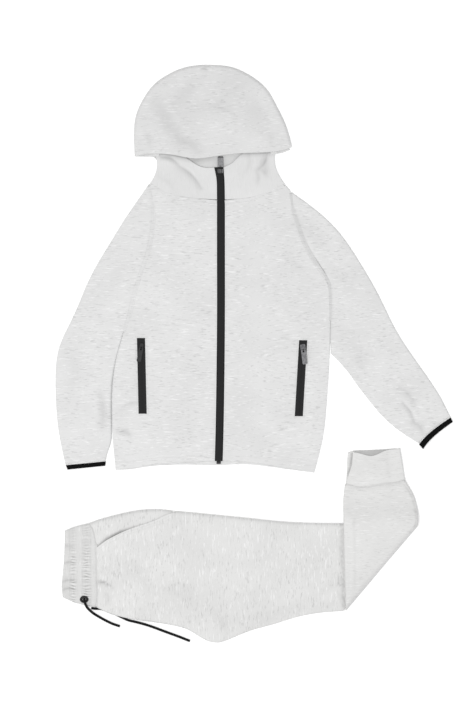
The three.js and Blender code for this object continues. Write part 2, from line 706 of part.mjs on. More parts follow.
const sleeveHeight = (x, y) => Math.max(5, SLEEVE_TOP + foldsAt(SLEEVE_FOLDS, x, y));
const shifted = (points, dx, dy) => points.map(([x, y]) => [x + dx, y + dy]);
add(
  "sleeve_right",
  flatTube({
    outer: SLEEVE_RIGHT_OUTER,
    inner: shifted(SLEEVE_RIGHT_INNER, -SEAM - 0.3, 0),
    stations: 13,
    height: sleeveHeight,
  }),
  GREY,
);
add(
  "sleeve_left",
  flatTube({
    outer: SLEEVE_LEFT_OUTER,
    inner: shifted(SLEEVE_LEFT_INNER, SEAM + 0.9, 0.6),
    stations: 13,
    height: sleeveHeight,
  }),
  GREY,
);
const BINDINGS = [
  {
    name: "cuff_binding_right", outer: [-339, -199], toOuter: [3.6, -9], inner: [-266, -192],
    toInner: [-1.4, -9],
  },
  {
    name: "cuff_binding_left", outer: [354, -113], toOuter: [3.9, -8], inner: [297, -162],
    toInner: [6.9, -8],
  },
];
for (const { name, outer, toOuter, inner, toInner } of BINDINGS) {
  const start = 0.1;
  const run = ([x, y], to) => [start, 0.5, 1].map((t) => [x + to[0] * t, y + to[1] * t]);
  const geometry = flatTube({
    outer: run(outer, toOuter),
    inner: run(inner, toInner),
    stations: 2,
    height: () => SLEEVE_TOP + 0.3,
    roll: 3.6,
  });
  add(name, geometry, BLACK_BINDING);
}

// Hood: the lower layer on the surface, the neck parts that rise to the zip's top, and the crown
// that lies over them with its face edge across the neck

function hoodBack() {
  const base = [[-186, 306.5], [-130, 295], [-60, 291], [0, 295], [55.5, 305.8]];
  const right = [[55.5, 305.8], [44, 323], [38, 339], [37, 355], [40, 366], [64, 371]];
  const arc = loopOf([HOOD_ARC, HOOD_FACE], 22);
  const within = moved(arc, LAYER + 1.4).filter((p) => p.y > 374);
  within.sort((p, q) => Math.atan2(p.y - 360, p.x + 76) - Math.atan2(q.y - 360, q.x + 76));
  const left = [
    [-206, 355.5], [-194, 355.5], [-180, 356], [-174.5, 350], [-173, 341], [-177, 323], [-186, 306.5],
  ];
  const top = within.map((p) => [p.x, p.y]);
  const loop = [...base.slice(0, -1), ...right.slice(0, -1), [64, 371], ...top, ...left.slice(0, -1)];
  return stacked(loop.map(([x, y]) => vec(x, y)), layerRows(1, 0));
}
add("hood_back", hoodBack(), GREY);

const neckHeight = (x, y) => Math.max(LAYER + WALL + 1.35, NECK_TOP + 0.3 + foldsAt(NECK_FOLDS, x, y));
function neckZip(side) {
  const run = zipSide(side).slice(5).map(([x, y]) => [x, Math.max(y, NECK_SEAM_LEFT[0][1])]);
  const [x, y] = run.at(-1);
  return [...run.slice(0, -1), [x - (side < 0 ? ZIP_FLARE : 0), y]];
}
const neckGrid = { across: 7, up: 6, height: neckHeight };
const lapelRight = [...LAPEL_RIGHT.slice(0, -1), neckZip(-1)[2]];
const lapelLeft = [neckZip(1)[2], ...LAPEL_LEFT.slice(1)];
add(
  "hood_neck_right",
  panel({
    sides: { bottom: NECK_SEAM_RIGHT, right: neckZip(-1), top: lapelRight, left: NECK_EDGE_RIGHT },
    edges: { left: cut(1, 12), right: cut(), bottom: cut(), top: cut() },
    ...neckGrid,
  }),
  GREY,
);
add(
  "hood_neck_left",
  panel({
    sides: { bottom: NECK_SEAM_LEFT, right: NECK_EDGE_LEFT, top: lapelLeft, left: neckZip(1) },
    edges: { left: cut(), right: cut(1, 12), bottom: cut(), top: cut() },
    ...neckGrid,
  }),
  GREY,
);

// The crown is a grid of rings from its outline to its centre. Over the arc its edge rounds down
// to the surface; along the face it is a cut edge lying on the neck parts.
function hoodCrown() {
  const spacing = 21;
  const arc = loopOf([HOOD_ARC], spacing).reverse();
  const faceEdge = loopOf([HOOD_FACE], spacing).reverse();
  const outline = [...arc.map((p) => ({ p, rolls: 1 })), ...faceEdge.map((p) => ({ p, rolls: 0 }))];
  const steps = [0, 0.1, 0.35, 0.7, 1];
  const inward = [0.22, 0.45, 0.7, 0.88];
  const centre = vec(...HOOD_CENTRE);
  const full = (x, y) => HOOD_TOP + foldsAt(HOOD_FOLDS, x, y);
  const ringAt = (isInner, step, share) =>
    outline.map(({ p, rolls }) => {
      const way = centre.clone().sub(p);
      const length = way.length();
      way.normalize();
      const start = isInner && rolls ? WALL : 0;
      const roll = rolls ? HOOD_ROLL : 4;
      const distance = mix(start + step * (roll - start), length, share);
      const point = p.clone().addScaledVector(way, distance);
      const slope = mix(1, 0.55, rolls ? 0 : 1 - smooth((distance - 4) / 50));
      const top = Math.max(NECK_TOP + LAYER + 1.4, full(point.x, point.y) * slope + (1 - slope) * 8);
      const level = isInner ? top - WALL : top;
      if (rolls) point.z = mix(0, level, share > 0 ? 1 : rounded(step));
      else point.z = level + (step === 0 && share === 0 ? 0.6 * (isInner ? 1 : -1) : 0);
      return point;
    });
  const faces = [false, true].map((isInner) => {
    const rings = steps.map((step) => ringAt(isInner, step, 0));
    for (const share of inward) rings.push(ringAt(isInner, 1, share));
    const pole = centre.clone().setZ(full(centre.x, centre.y) - (isInner ? WALL : 0));
    return { rings, pole };
  });
  const points = [];
  const triangles = [];
  const count = outline.length;
  faces.forEach(({ rings, pole }, isInner) => {
    const base = points.length;
    points.push(...rings.flat(), pole);
    const put = (a, b, c) => triangles.push(isInner ? [a, b, c] : [a, c, b]);
    for (let k = 0; k < count; k += 1) {
      const next = (k + 1) % count;
      for (let r = 0; r < rings.length - 1; r += 1) {
        const [a, b] = [base + r * count + k, base + r * count + next];
        put(a, b + count, b);
        put(a, a + count, b + count);
      }
      const last = base + (rings.length - 1) * count;
      put(last + k, base + rings.length * count, last + next);
    }
  });
  const inner = faces[0].rings.length * count + 1;
  for (let k = 0; k < count; k += 1) {
    const next = (k + 1) % count;
    triangles.push([next, k, inner + k], [next, inner + k, inner + next]);
  }
  return closed(points, triangles);
}
add("hood_crown", hoodCrown(), GREY);

// Trousers: waistband, upper leg and what lies hidden under them

const bandBack = [[...BAND_UPPER].reverse(), [...BAND_LEFT].reverse()];
const bandLoop = loopOf([BAND_LOWER, BAND_SEAM, ...bandBack], 20);
const bandThickness = (BAND_HIDDEN - 2 * GAP) / 3;
const bandUnder = layerRows(2, SEAM, bandThickness);
bandUnder.push([5.2, bandUnder.at(-1)[1] + GAP], [5.2, BAND_HIDDEN - 0.6], [6.6, BAND_HIDDEN]);
add("waistband_hidden_layers", stacked(bandLoop, bandUnder), WARM_GREY);

// Rows of sewing hold the elastic; the gathers run across them, stronger in the lower half.
const HELD_ROWS = [-336, -326, -302, -288];
const HELD_DEPTH = 0.7;
function bandHeight(x, y) {
  const nearness = HELD_ROWS.map((row) => Math.exp(-(((x - row) / 3.5) ** 2)));
  const bowed = y + ((x + 310) ** 2) / 250;
  const wave = Math.cos((bowed * 2 * Math.PI) / GATHER_PITCH);
  const strength = 0.5 + 0.5 * smooth((-315 - y) / 20);
  return BAND_TOP - HELD_DEPTH * Math.max(...nearness) + 0.5 * GATHER_DEPTH * wave * strength;
}
const bandFloor = () => 2 * bandThickness + GAP + 0.7;
add(
  "waistband",
  panel({
    sides: { bottom: BAND_LOWER, right: BAND_SEAM, top: BAND_UPPER, left: BAND_LEFT },
    edges: {
      left: cut(0.8, 5),
      right: cut(0.8, 5),
      bottom: rolled(11, bandFloor),
      top: rolled(5, bandFloor),
    },
    height: bandHeight,
    across: 3,
    up: 64,
  }),
  WARM_GREY,
);

const foldInset = WALL + 1.8;
const legFoldIn = LEG_FOLD.map(([x, y]) => [x - foldInset * 1.3, y + 0.4]);
const legLowerIn = [...LEG_LOWER.slice(0, -1), legFoldIn[0]];
const legUpperIn = [...LEG_UPPER.slice(0, -1), [legFoldIn.at(-1)[0], -309]];
const legFoldRun = [...legFoldIn.slice(0, -1), legUpperIn.at(-1)];
const legLowerHidden = [...CORD_TUCK, ...legLowerIn.slice(4)];
const legUpperBack = [...legUpperIn].reverse();
const legLoop = loopOf([legLowerHidden, legFoldRun, legUpperBack, [...BAND_SEAM].reverse()], 20);
const legUnder = layerRows(2, SEAM);
legUnder.push([3.8, 2 * LAYER], [3.8, LEG_HIDDEN - 0.6], [4.8, LEG_HIDDEN]);
add("leg_hidden_layers", stacked(legLoop, legUnder), WARM_GREY);

const slantAt = through(POCKET_SLANT);
function nearSlant(x, y) {
  let nearest = Infinity;
  for (let k = 0; k <= 12; k += 1) nearest = Math.min(nearest, slantAt(k / 12).distanceTo(vec(x, y)));
  return nearest;
}
const FACING = LAYER - 0.3;
function legHeight(x, y) {
  const raised = (FACING + 0.2) * (1 - smooth((nearSlant(x, y) - 12) / 16));
  return Math.max(LEG_HIDDEN + LAYER, LEG_TOP + 0.9 + foldsAt(LEG_FOLDS, x, y)) + raised;
}
const legFloor = (x) => 2 * LAYER + 0.1 + TUCK.lift * Math.exp(-(((x - TUCK.x) / TUCK.width) ** 2));
const slantAndUpper = [...POCKET_SLANT, [-140, -281.8], ...legUpperIn.slice(6)];
const seamBelowPocket = BAND_SEAM.slice(0, 5);
add(
  "leg_front",
  panel({
    sides: { bottom: legLowerIn, right: legFoldRun, top: slantAndUpper, left: seamBelowPocket },
    edges: {
      left: cut(0.6, 8),
      right: cut(),
      bottom: rolled(LEG_ROLL, legFloor),
      top: cut(1.2, 10),
    },
    height: legHeight,
    across: 24,
    up: 9,
  }),
  WARM_GREY,
);
const slantUnder = POCKET_SLANT.map(([x, y], k) => [x + (k ? 4 : 0), y - 7]);
add(
  "pocket_facing",
  panel({
    sides: {
      bottom: slantUnder,
      right: [slantUnder.at(-1), [-146, -287], [-147, -282]],
      top: [[-298, -304], [-279, -297], [-237, -286], [-205, -280], [-169, -278.5], [-147, -282]],
      left: [slantUnder[0], [-284, -348], [-285.5, -334], [-290, -315], [-298, -304]],
    },
    edges: { left: cut(), right: cut(), bottom: cut(), top: cut(0.4, 8) },
    height: () => LEG_HIDDEN + FACING,
    wall: FACING - GAP,
    across: 10,
    up: 4,
  }),
  WARM_GREY,
);

// The turned-up lower legs lie on the upper legs and come down to the surface beyond them

const turnupBase = (x, y) =>
  (legHeight(x, Math.min(y, -306)) + GAP + 0.4) * (1 - smooth((y + 306) / DRAPE));
const turnupHeight = (x, y) =>
  turnupBase(x, y) + LEG_HIDDEN + LAYER + 0.9 + foldsAt(TURNUP_FOLDS, x, y);
const turnupFloor = (x, y) => turnupBase(x, y) + 2 * LAYER + 0.1;
const turnup = {
  plan: patch({ bottom: LEG_FOLD, right: TURNUP_RIGHT, top: CUFF_SEAM, left: TURNUP_LEFT }),
  edges: {
    left: rolled(LEG_ROLL, turnupFloor),
    right: rolled(LEG_ROLL, turnupFloor),
    bottom: rolled(11, () => 0, 1.5),
    top: cut(0.8, 8),
  },
  height: turnupHeight,
  wall: WALL,
};
const turnupRows = [
  rowsBetween(turnup.edges.left, turnup.edges.right, 6),
  rowsBetween(turnup.edges.bottom, turnup.edges.top, 9),
];
const turnupInner = face(turnup, ...turnupRows, true);
add("lower_leg_back", between(face(turnup, ...turnupRows, false), turnupInner), WARM_GREY);

// What is hidden in them: its top is the panel's inner face moved down, its underside follows
// what it lies on, and its rim shows the edges of the layers.
function turnupHidden() {
  const spacing = 0.4 + GAP;
  const pull = (p, inwards, lift) => {
    const middle = vec(226, -320);
    const way = middle.sub(p).setZ(0).normalize();
    return p.clone().addScaledVector(way, inwards).setZ(p.z + lift);
  };
  const inside = turnupInner.slice(2);
  const edge = inside.length - 1;
  const top = inside.map((row, j) =>
    row.map((p, i) => {
      const level = j === edge ? Math.min(p.z, inside[j - 1][i].z) : p.z;
      return pull(p.clone().setZ(level), spacing, -GAP);
    }),
  );
  const bottom = top.map((row) => row.map((p) => p.clone().setZ(turnupBase(p.x, p.y))));
  const rim = rimCells(top.length, top[0].length);
  const ring = (outwards, share) =>
    rim.map(([j, i]) => {
      const high = top[j][i];
      const low = bottom[j][i];
      const isEnd = j < 2 || j === edge;
      const point = isEnd ? high.clone() : pull(high, -outwards, 0);
      return point.setZ(mix(high.z, low.z, share));
    });
  return between(top, bottom, [ring(1.9, 0.2), ring(0.9, 0.5), ring(1.9, 0.8)]);
}
add("lower_leg_hidden_layers", turnupHidden(), WARM_GREY);

const cuffUnderLoop = loopOf([[...CUFF_UNDER, CUFF_UNDER[0]]], 14);
const cuffUnderRows = layerRows(2, 0.9, (CUFF_UNDER_TOP - GAP) / 2);
add("ankle_cuff_under", stacked(cuffUnderLoop, cuffUnderRows), WARM_GREY);

const CUFF_LENGTH = 70;
const DIP = { deep: 0.15, at: 0.4, half: 0.2, slant: 0.03 };
const cuffDip = (s) => DIP.deep * Math.exp(-(((s - DIP.at) / DIP.half) ** 2)) + DIP.slant * (1 - s);
const cuffSeamAt = through(CUFF_SEAM);
const cuffStart = (s) => (cuffSeamAt(s).y + GAP + SEAM - CUFF_LEFT[0][1]) / CUFF_LENGTH;
add(
  "ankle_cuff_top",
  flatTube({
    outer: CUFF_LEFT,
    inner: CUFF_RIGHT,
    stations: 5,
    floor: CUFF_UNDER_TOP + GAP,
    height: () => CUFF_TOP,
    lip: cuffDip,
    start: cuffStart,
  }),
  WARM_GREY,
);

// Eyelet and the two free ends of the drawstring

const EYELET_AT = vec(-305, -441, BAND_TOP + 0.8);
function eyeletSolid() {
  const { radius, hole, thick } = EYELET;
  const profile = [
    [hole, 0], [radius, 0], [radius, thick * 0.2], [radius - 1, thick * 0.8], [hole + 0.8, thick],
    [hole, thick * 0.7], [hole, 0],
  ];
  const geometry = new THREE.LatheGeometry(profile.map(([x, y]) => new THREE.Vector2(x, y)), 16);
  return geometry.rotateX(Math.PI / 2).scale(EYELET.wide, EYELET.high, 1);
}
const eyelet = add("drawcord_eyelet", eyeletSolid(), BLACK_METAL);
eyelet.position.copy(EYELET_AT);
eyelet.rotation.x = EYELET.tilt;

const FLOOR = CORD / 2 + 0.15;
const CORD_1 = [
  [-305, -440.2, 11.8], [-305, -440.6, 13.6], [-304.6, -442.6, 15.9], [-303.6, -446.4, 16.8],
  [-302, -451, 14.8], [-299.6, -455.6, 10.6], [-296, -460.2, 6], [-291.4, -464.6, 3.4],
  [-286, -468.6, FLOOR + 0.1], [-276, -474.5, FLOOR], [-266, -480, FLOOR], [-253, -486, FLOOR],
  [-241, -490, FLOOR],
];
const CORD_2 = [
  [-292.5, -457.4], [-285, -458.2], [-276, -458.4], [-264, -462.2], [-250, -467.6], [-237, -474],
  [-226, -479], [-213, -482.2], [-197, -486.4], [-180, -492], [-160, -499.5], [-138, -507.5],
  [-115, -516.5],
].map((point) => [...point, FLOOR]);
function cordSolid(points, step) {
  const path = new THREE.CatmullRomCurve3(points.map((p) => vec(...p)), false, "centripetal");
  const section = new THREE.Shape();
  section.absarc(0, 0, CORD / 2, 0, Math.PI * 2);
  const steps = Math.round(path.getLength() / (step * CORD));
  const extrusion = { steps, curveSegments: 4, extrudePath: path, bevelEnabled: false };
  return new THREE.ExtrudeGeometry(section, extrusion);
}
add("drawcord_1", cordSolid(CORD_1, 0.9), CORD_BLACK);
add("drawcord_2", cordSolid(CORD_2, 2.4), CORD_BLACK);

export default suit;
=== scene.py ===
"""A child's tracksuit laid flat: hooded zip jacket, and trousers folded with the legs turned up.

Run as a script, it loads the packed solids, dresses each piece of cloth in a finer shell with its
creases, adds zip teeth, sewing and cords, and lights the set from above on a white surface.
The tables hold millimetres: +X is the viewer's right, +Y points to the hood, +Z is up.
"""

import math

import bmesh
import bpy
import numpy as np
from bpy.props import FloatProperty, FloatVectorProperty, PointerProperty
from mathutils import Matrix, Vector, noise


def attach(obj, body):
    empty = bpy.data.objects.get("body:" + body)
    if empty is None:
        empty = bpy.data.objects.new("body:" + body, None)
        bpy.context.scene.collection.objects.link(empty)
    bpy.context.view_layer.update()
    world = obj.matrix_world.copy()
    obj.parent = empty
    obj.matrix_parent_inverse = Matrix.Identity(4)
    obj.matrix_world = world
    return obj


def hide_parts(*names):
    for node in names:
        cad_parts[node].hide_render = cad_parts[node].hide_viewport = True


bl_info = {
    "name": "Laid-out tracksuit",
    "version": (1, 0, 0),
    "blender": (4, 5, 0),
    "location": "View3D > Sidebar > Tracksuit",
    "description": "Dresses a flat-lay tracksuit with cloth, zips, sewing and cords",
    "category": "Object",
}

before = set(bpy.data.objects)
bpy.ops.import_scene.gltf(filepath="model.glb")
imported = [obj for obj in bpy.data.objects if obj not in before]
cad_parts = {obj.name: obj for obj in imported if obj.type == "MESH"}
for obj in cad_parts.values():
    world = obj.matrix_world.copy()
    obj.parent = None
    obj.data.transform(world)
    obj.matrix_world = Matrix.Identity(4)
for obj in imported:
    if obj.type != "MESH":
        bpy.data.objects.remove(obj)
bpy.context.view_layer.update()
MM = 0.001

# The photo: millimetres to a pixel, then its height and the place of its middle in pixels.
PIXEL = 1.8
PHOTO_HEIGHT = 705
PHOTO_MIDDLE = (-18.75, 1.7)

# The camera's height and the height of the cloth that it is framed on, in metres.
CAMERA_HEIGHT = 7.0
CLOTH_HEIGHT = 0.006

# The surface and the lamp, in metres.
SURFACE_SIZE = 12
SURFACE_DROP = 0.0003
LAMP_SIZE = (2.2, 1.6)
LAMP_PLACE = (-0.7, -0.6, 4.6)

# A fold is (from, to, width, rise, sharpness): a ridge where the rise is above 0, else a trough.
# Sharpness 2 is a soft bell and 1 has a crease at its middle.
JACKET_FOLDS = [
    ((64, 172), (104, 126), 16, -0.9, 2),
    ((20, 250), (84, 150), 14, 0.5, 2),
    ((-244, -138), (-222, -146), 4.5, -1.3, 1.3),
    ((-246, -146), (-224, -154), 5, 0.7, 2),
    ((-240, -98), (-208, -88), 4, -0.7, 1.2),
    ((-242, -91), (-212, -80), 6, 0.5, 2),
    ((-172, 250), (-150, 120), 17, 0.5, 2),
    ((-120, 180), (-96, 40), 24, -0.4, 2),
    ((-150, 90), (-92, -40), 24, 0.5, 2),
    ((-140, -60), (-80, -150), 20, -0.4, 2),
    ((-30, 150), (20, 60), 24, 0.5, 2),
    ((10, -30), (60, -150), 22, 0.5, 2),
    ((90, 60), (120, -60), 16, -0.5, 2),
    ((112, -40), (96, -150), 9, 0.6, 2),
    ((-30, -60), (10, -170), 20, -0.5, 2),
]
NECK_FOLDS = [
    ((-134, 339), (-95, 300), 4.6, -1.7, 1.1),
    ((-128, 340), (-104, 318), 5, 0.6, 2),
    ((-166, 355), (-138, 344), 3.6, -1.5, 1.1),
    ((-168, 346), (-148, 343), 5, 0.6, 2),
    ((-169, 319), (-142, 292), 5, -0.5, 1.3),
    ((-170, 318), (-148, 300), 9, 0.6, 2),
    ((24, 359), (10, 334), 4.2, -1.3, 1.1),
    ((10, 334), (24, 321), 4, -0.5, 1.3),
    ((-11, 366), (-12, 330), 4, -0.4, 1.6),
    ((-2, 360), (2, 326), 4.5, 0.5, 2),
    ((4, 332), (7, 308), 3.4, -0.6, 1.4),
    ((-34, 340), (-30, 300), 7, 0.4, 2),
]
SLEEVE_FOLDS = [
    ((90, 242), (128, 190), 13, -1.1, 2),
    ((122, 236), (160, 180), 12, 0.7, 2),
    ((150, 150), (196, 90), 14, -0.6, 2),
    ((250, -64), (286, -106), 6, 0.9, 2),
    ((268, -88), (288, -122), 4, -1.3, 1.2),
    ((288, -122), (306, -142), 5, -1, 1.3),
    ((262, -60), (292, -92), 4, -0.7, 1.3),
    ((204, 30), (240, -10), 15, 0.7, 2),
    ((168, 30), (200, -20), 12, -0.6, 2),
    ((-276, -70), (-274, -134), 6, -1, 1.4),
    ((-286, -62), (-286, -130), 8, 0.6, 2),
    ((-300, 60), (-250, 10), 14, 0.6, 2),
    ((-322, 0), (-330, -80), 12, -0.6, 2),
    ((-224, 190), (-256, 130), 12, -0.6, 2),
    ((-206, 230), (-232, 170), 10, 0.5, 2),
    ((-310, -120), (-306, -180), 10, 0.5, 2),
]
HOOD_FOLDS = [
    ((-106, 496), (-142, 452), 13, -1.5, 2),
    ((-174, 452), (-156, 416), 13, -1.6, 2),
    ((-156, 416), (-132, 386), 12, -1.8, 2),
    ((-132, 386), (-98, 368), 10, -1.5, 2),
    ((-150, 446), (-126, 402), 11, 1.0, 2),
    ((-100, 412), (-46, 410), 24, 1.5, 2),
    ((-90, 446), (-34, 440), 11, -0.8, 2),
    ((-30, 490), (20, 414), 18, -0.9, 2),
    ((10, 470), (40, 414), 10, 0.8, 2),
    ((-30, 396), (20, 380), 10, 0.5, 2),
    ((-204, 410), (-196, 384), 6, 0.7, 2),
    ((-196, 400), (-186, 376), 6, -0.6, 2),
    ((8, 398), (14, 374), 5, 0.5, 2),
    ((24, 404), (32, 378), 5, -0.5, 1.6),
    ((-94, 514), (-84, 512), 3, -1, 1.2),
]
LEG_FOLDS = [
    ((-212, -384), (-186, -430), 13, -0.9, 2),
    ((-160, -418), (-102, -444), 12, -0.9, 2),
    ((-66, -470), (-46, -508), 11, -1.1, 2),
    ((-60, -486), (40, -462), 12, 1, 2),
    ((40, -462), (112, -428), 12, 0.9, 2),
    ((112, -428), (150, -404), 11, 0.8, 2),
    ((-20, -496), (140, -446), 10, -0.7, 2),
    ((-281, -410), (-262, -414), 3.6, -1.4, 1.1),
    ((-262, -414), (-254, -420), 3.6, -0.8, 1.2),
    ((-280, -403), (-262, -406), 5, 0.7, 2),
    ((-268, -428), (-264, -448), 5, -0.6, 1.5),
    ((148, -334), (158, -372), 3, -0.5, 1.3),
    ((154, -338), (161, -368), 3, 0.8, 2),
    ((152, -400), (161, -424), 3, -0.4, 1.4),
    ((154, -428), (162, -452), 2.6, -0.6, 1.2),
    ((132, -446), (160, -420), 6, 0.9, 2),
    ((-30, -330), (60, -345), 26, 0.5, 2),
    ((-120, -330), (-60, -380), 26, -0.5, 2),
    ((-230, -350), (-180, -330), 14, 0.6, 2),
]
TURNUP_FOLDS = [
    ((184, -250), (240, -262), 8, 0.6, 2),
    ((176, -300), (175, -430), 4, 0.5, 2),
    ((236, -214), (244, -236), 6, -0.6, 2),
    ((220, -330), (270, -290), 12, 0.7, 2),
    ((200, -400), (240, -350), 12, -0.6, 2),
    ((250, -240), (284, -262), 7, 0.6, 2),
]
CUFF_FOLDS = [
    ((190, -180), (204, -214), 8, 0.4, 2),
    ((236, -180), (242, -222), 7, -0.4, 2),
    ((212, -190), (216, -226), 6, 0.3, 2),
]
BAND_FOLDS = [
    ((-345, -378), (-321, -376), 2.4, -0.7, 1.3),
    ((-345, -410), (-320, -409), 2.4, -0.8, 1.3),
    ((-345, -425), (-322, -423), 2.2, -0.7, 1.3),
    ((-344, -346), (-324, -348), 3, -0.4, 1.6),
]

# What the folds' rises are multiplied by, how far a fold bows to one side at most, and how deep
# the cloth may be dented where it lies on another piece and where it hangs free.
FOLD_STRENGTH = 1.5
LONGEST_BOW = 4
DEEPEST_DENT = 1.3
DEEPEST_FREE_DENT = 3.0

# Pieces whose underside hangs free, so that both sides of the cloth take their folds.
FREE_UNDERNEATH = ["hood_crown"]

# The slant pocket's edge, and where along it the pocket stands open most.
POCKET_SLANT = [
    (-284, -348), (-266, -332), (-239, -318), (-200, -306), (-169, -295), (-150, -283.5),
]
POCKET_OPEN_AT = -250

# The waistband: rows of gathers (place, half width, depth), the lines of sewing and the smooth
# strips beside them, the band's lower end, and where the gathers start to deepen towards it.
GATHER_ROWS = [(-325, 4.2, 0.8), (-301, 6, 1.0)]
SEWN_LINES = (-331, -308.5, -293.5)
SMOOTH_STRIPS = (-313, -288)
BAND_END = -455
DEEPER_BELOW = -345

# Where the inside of the ankle cuff is seen and painted in shade: its heights from and to, and how far up
# the plan.
MOUTH_HEIGHTS = (5.4, 8.4)
MOUTH_END = -168

# Soft lines: pieces, half width, rise, how much painted shade darkens the cloth along them, points. Most are
# painted shadows where one layer lies over another or where a crease is.
SOFT_LINES = [
    (("front_left", "sleeve_left"), 3.6, -0.5, 0.15, [
        (127, 146), (112.6, 164.4), (94.6, 195.3), (86, 218), (79.6, 236), (72, 262),
    ]),
    (("front_right", "sleeve_right"), 3, -0.4, 0.05, [
        (-227, 60), (-214, 117), (-204, 146), (-192, 180), (-185, 211), (-181.5, 243), (-182.5, 269),
    ]),
    (("leg_front",), 3.2, -0.8, 0.2, [(159, -302), (160, -352), (162, -424), (164, -458)]),
    (("hood_neck_right", "hood_back"), 4, 0, 0.12, [
        (-213, 354), (-190, 357), (-163, 357), (-144, 355), (-118, 349), (-104, 347), (-82, 350),
    ]),
    (("hood_neck_left", "hood_back"), 4, 0, 0.12, [(-59, 354), (-22, 358), (18, 359), (49, 362)]),
    (("hood_neck_right", "hood_back"), 1.6, 0, 0.36, [
        (-213, 356), (-194, 360), (-163, 360.4), (-144, 358), (-118, 352), (-104, 350), (-82, 353),
    ]),
    (("hood_neck_left", "hood_back"), 1.6, 0, 0.32, [(-59, 357), (-22, 361), (18, 362), (49, 365)]),
    (("ankle_cuff_under",), 3.4, 0, 0.42, [(178, -180), (176, -201), (171, -217)]),
    (("ankle_cuff_top", "lower_leg_back"), 2.4, -0.3, 0.1, [
        (176, -238), (190, -240), (207, -239), (220, -236), (234, -233), (263, -231),
    ]),
    (("waistband", "leg_front"), 2, -0.3, 0.08, [
        (-283, -454), (-281, -428), (-283, -406), (-283, -370), (-284, -348),
    ]),
    (("lower_leg_back",), 1.8, -0.3, 0.1, [
        (270, -235), (279, -246), (286, -262), (291, -282), (292, -300), (288, -314),
    ]),
    (("lower_leg_back",), 2.6, -0.4, 0.05, [(180, -300), (181, -360), (182, -420)]),
    (("hood_crown",), 1.6, -0.4, 0.12, [(-89, 517), (-80, 517.6)]),
    (("hood_neck_left",), 7, -0.4, 0.09, [(20, 350), (22, 330)]),
    (("leg_front",), 1.6, -0.5, 0.12, [(-279, -408), (-268, -411), (-259, -418)]),
    (("leg_front", "pocket_facing"), 2.6, 0, 0.16, [
        (-296, -306), (-279, -299), (-237, -288), (-205, -282), (-169, -280.5), (-147, -283),
        (-122, -285.5), (-25, -295), (65, -304), (146, -306), (164, -306),
    ]),
    (("leg_front",), 9, -0.3, 0.045, [(-60, -486), (38, -462), (112, -432), (150, -408)]),
]

# The cords' routes, as their solids have them. FLOOR is a cord's middle where it lies on the
# surface, and a route's curve is longer than its straight steps by CORD_CURVE.
CORD_DIAMETER = 4.6
FLOOR = CORD_DIAMETER / 2 + 0.15
CORD_ROUTES = {
    "drawcord_1": [
        (-305, -440.2, 11.8), (-305, -440.6, 13.6), (-304.6, -442.6, 15.9), (-303.6, -446.4, 16.8),
        (-302, -451, 14.8), (-299.6, -455.6, 10.6), (-296, -460.2, 6), (-291.4, -464.6, 3.4),
        (-286, -468.6, FLOOR + 0.1), (-276, -474.5, FLOOR), (-266, -480, FLOOR),
        (-253, -486, FLOOR), (-241, -490, FLOOR),
    ],
    "drawcord_2": [
        (-292.5, -457.4, FLOOR), (-285, -458.2, FLOOR), (-276, -458.4, FLOOR), (-264, -462.2, FLOOR),
        (-250, -467.6, FLOOR), (-237, -474, FLOOR), (-226, -479, FLOOR), (-213, -482.2, FLOOR),
        (-197, -486.4, FLOOR), (-180, -492, FLOOR), (-160, -499.5, FLOOR), (-138, -507.5, FLOOR),
        (-115, -516.5, FLOOR),
    ],
}

# A sleeve's inner edge: its Y, its X, how far it moves towards the body along X, and the painted shade along
# it.
SLEEVE_EDGES = {
    "sleeve_left": [
        (-30, 168.2, 0, 0), (-20, 161.2, -1.6, 0), (-15, 157.2, -2.2, 0), (-10, 153.3, -3.4, 0),
        (-6, 150.1, -5, 0), (-2, 146.9, -6.8, 0), (2, 143.8, -8, 0), (6, 140.6, -6, 0.08),
        (12, 139, -3.4, 0.14), (30, 139.6, -2.6, 0.14), (62, 140.8, -2.8, 0.14),
        (90, 141.8, -2.9, 0.14), (112, 141.4, -2.2, 0.1), (130, 139.1, 0, 0),
    ],
    "sleeve_right": [
        (-185, -265.2, 0, 0), (-175, -263, 0.8, 0), (-165, -260.9, 2.6, 0), (-155, -258.9, 3.4, 0.05),
        (-145, -258.4, 3, 0.1), (-125, -257.3, 2, 0.3), (-100, -256.7, 1, 0.34), (-80, -256.2, 0.6, 0.34),
        (-50, -255, 0.4, 0.28), (-20, -250.4, 0, 0.1), (0, -247, 0, 0),
    ],
}
EDGE_SPREAD = 12
EDGE_SHADE_WIDTH = 2.6

# The left cuff's line, how deep it bows, how far the bow reaches, and how much the binding widens.
CUFF_LINE = [(297, -162), (354, -113)]
CUFF_BOW = 3.8
CUFF_BOW_REACH = 16
BINDING_WIDENS = 0.16

# The left front's corner at the shoulder, how far it reaches over to the sleeve, and how widely.
SHOULDER_CORNER = (62.8, 294.5)
SHOULDER_REACH = (4.3, 0.5)
SHOULDER_SPREAD = 6.5

# The main zip's tape runs further down to its box from this place, by this much.
TAPE_END = -192
TAPE_REACH = 1.5

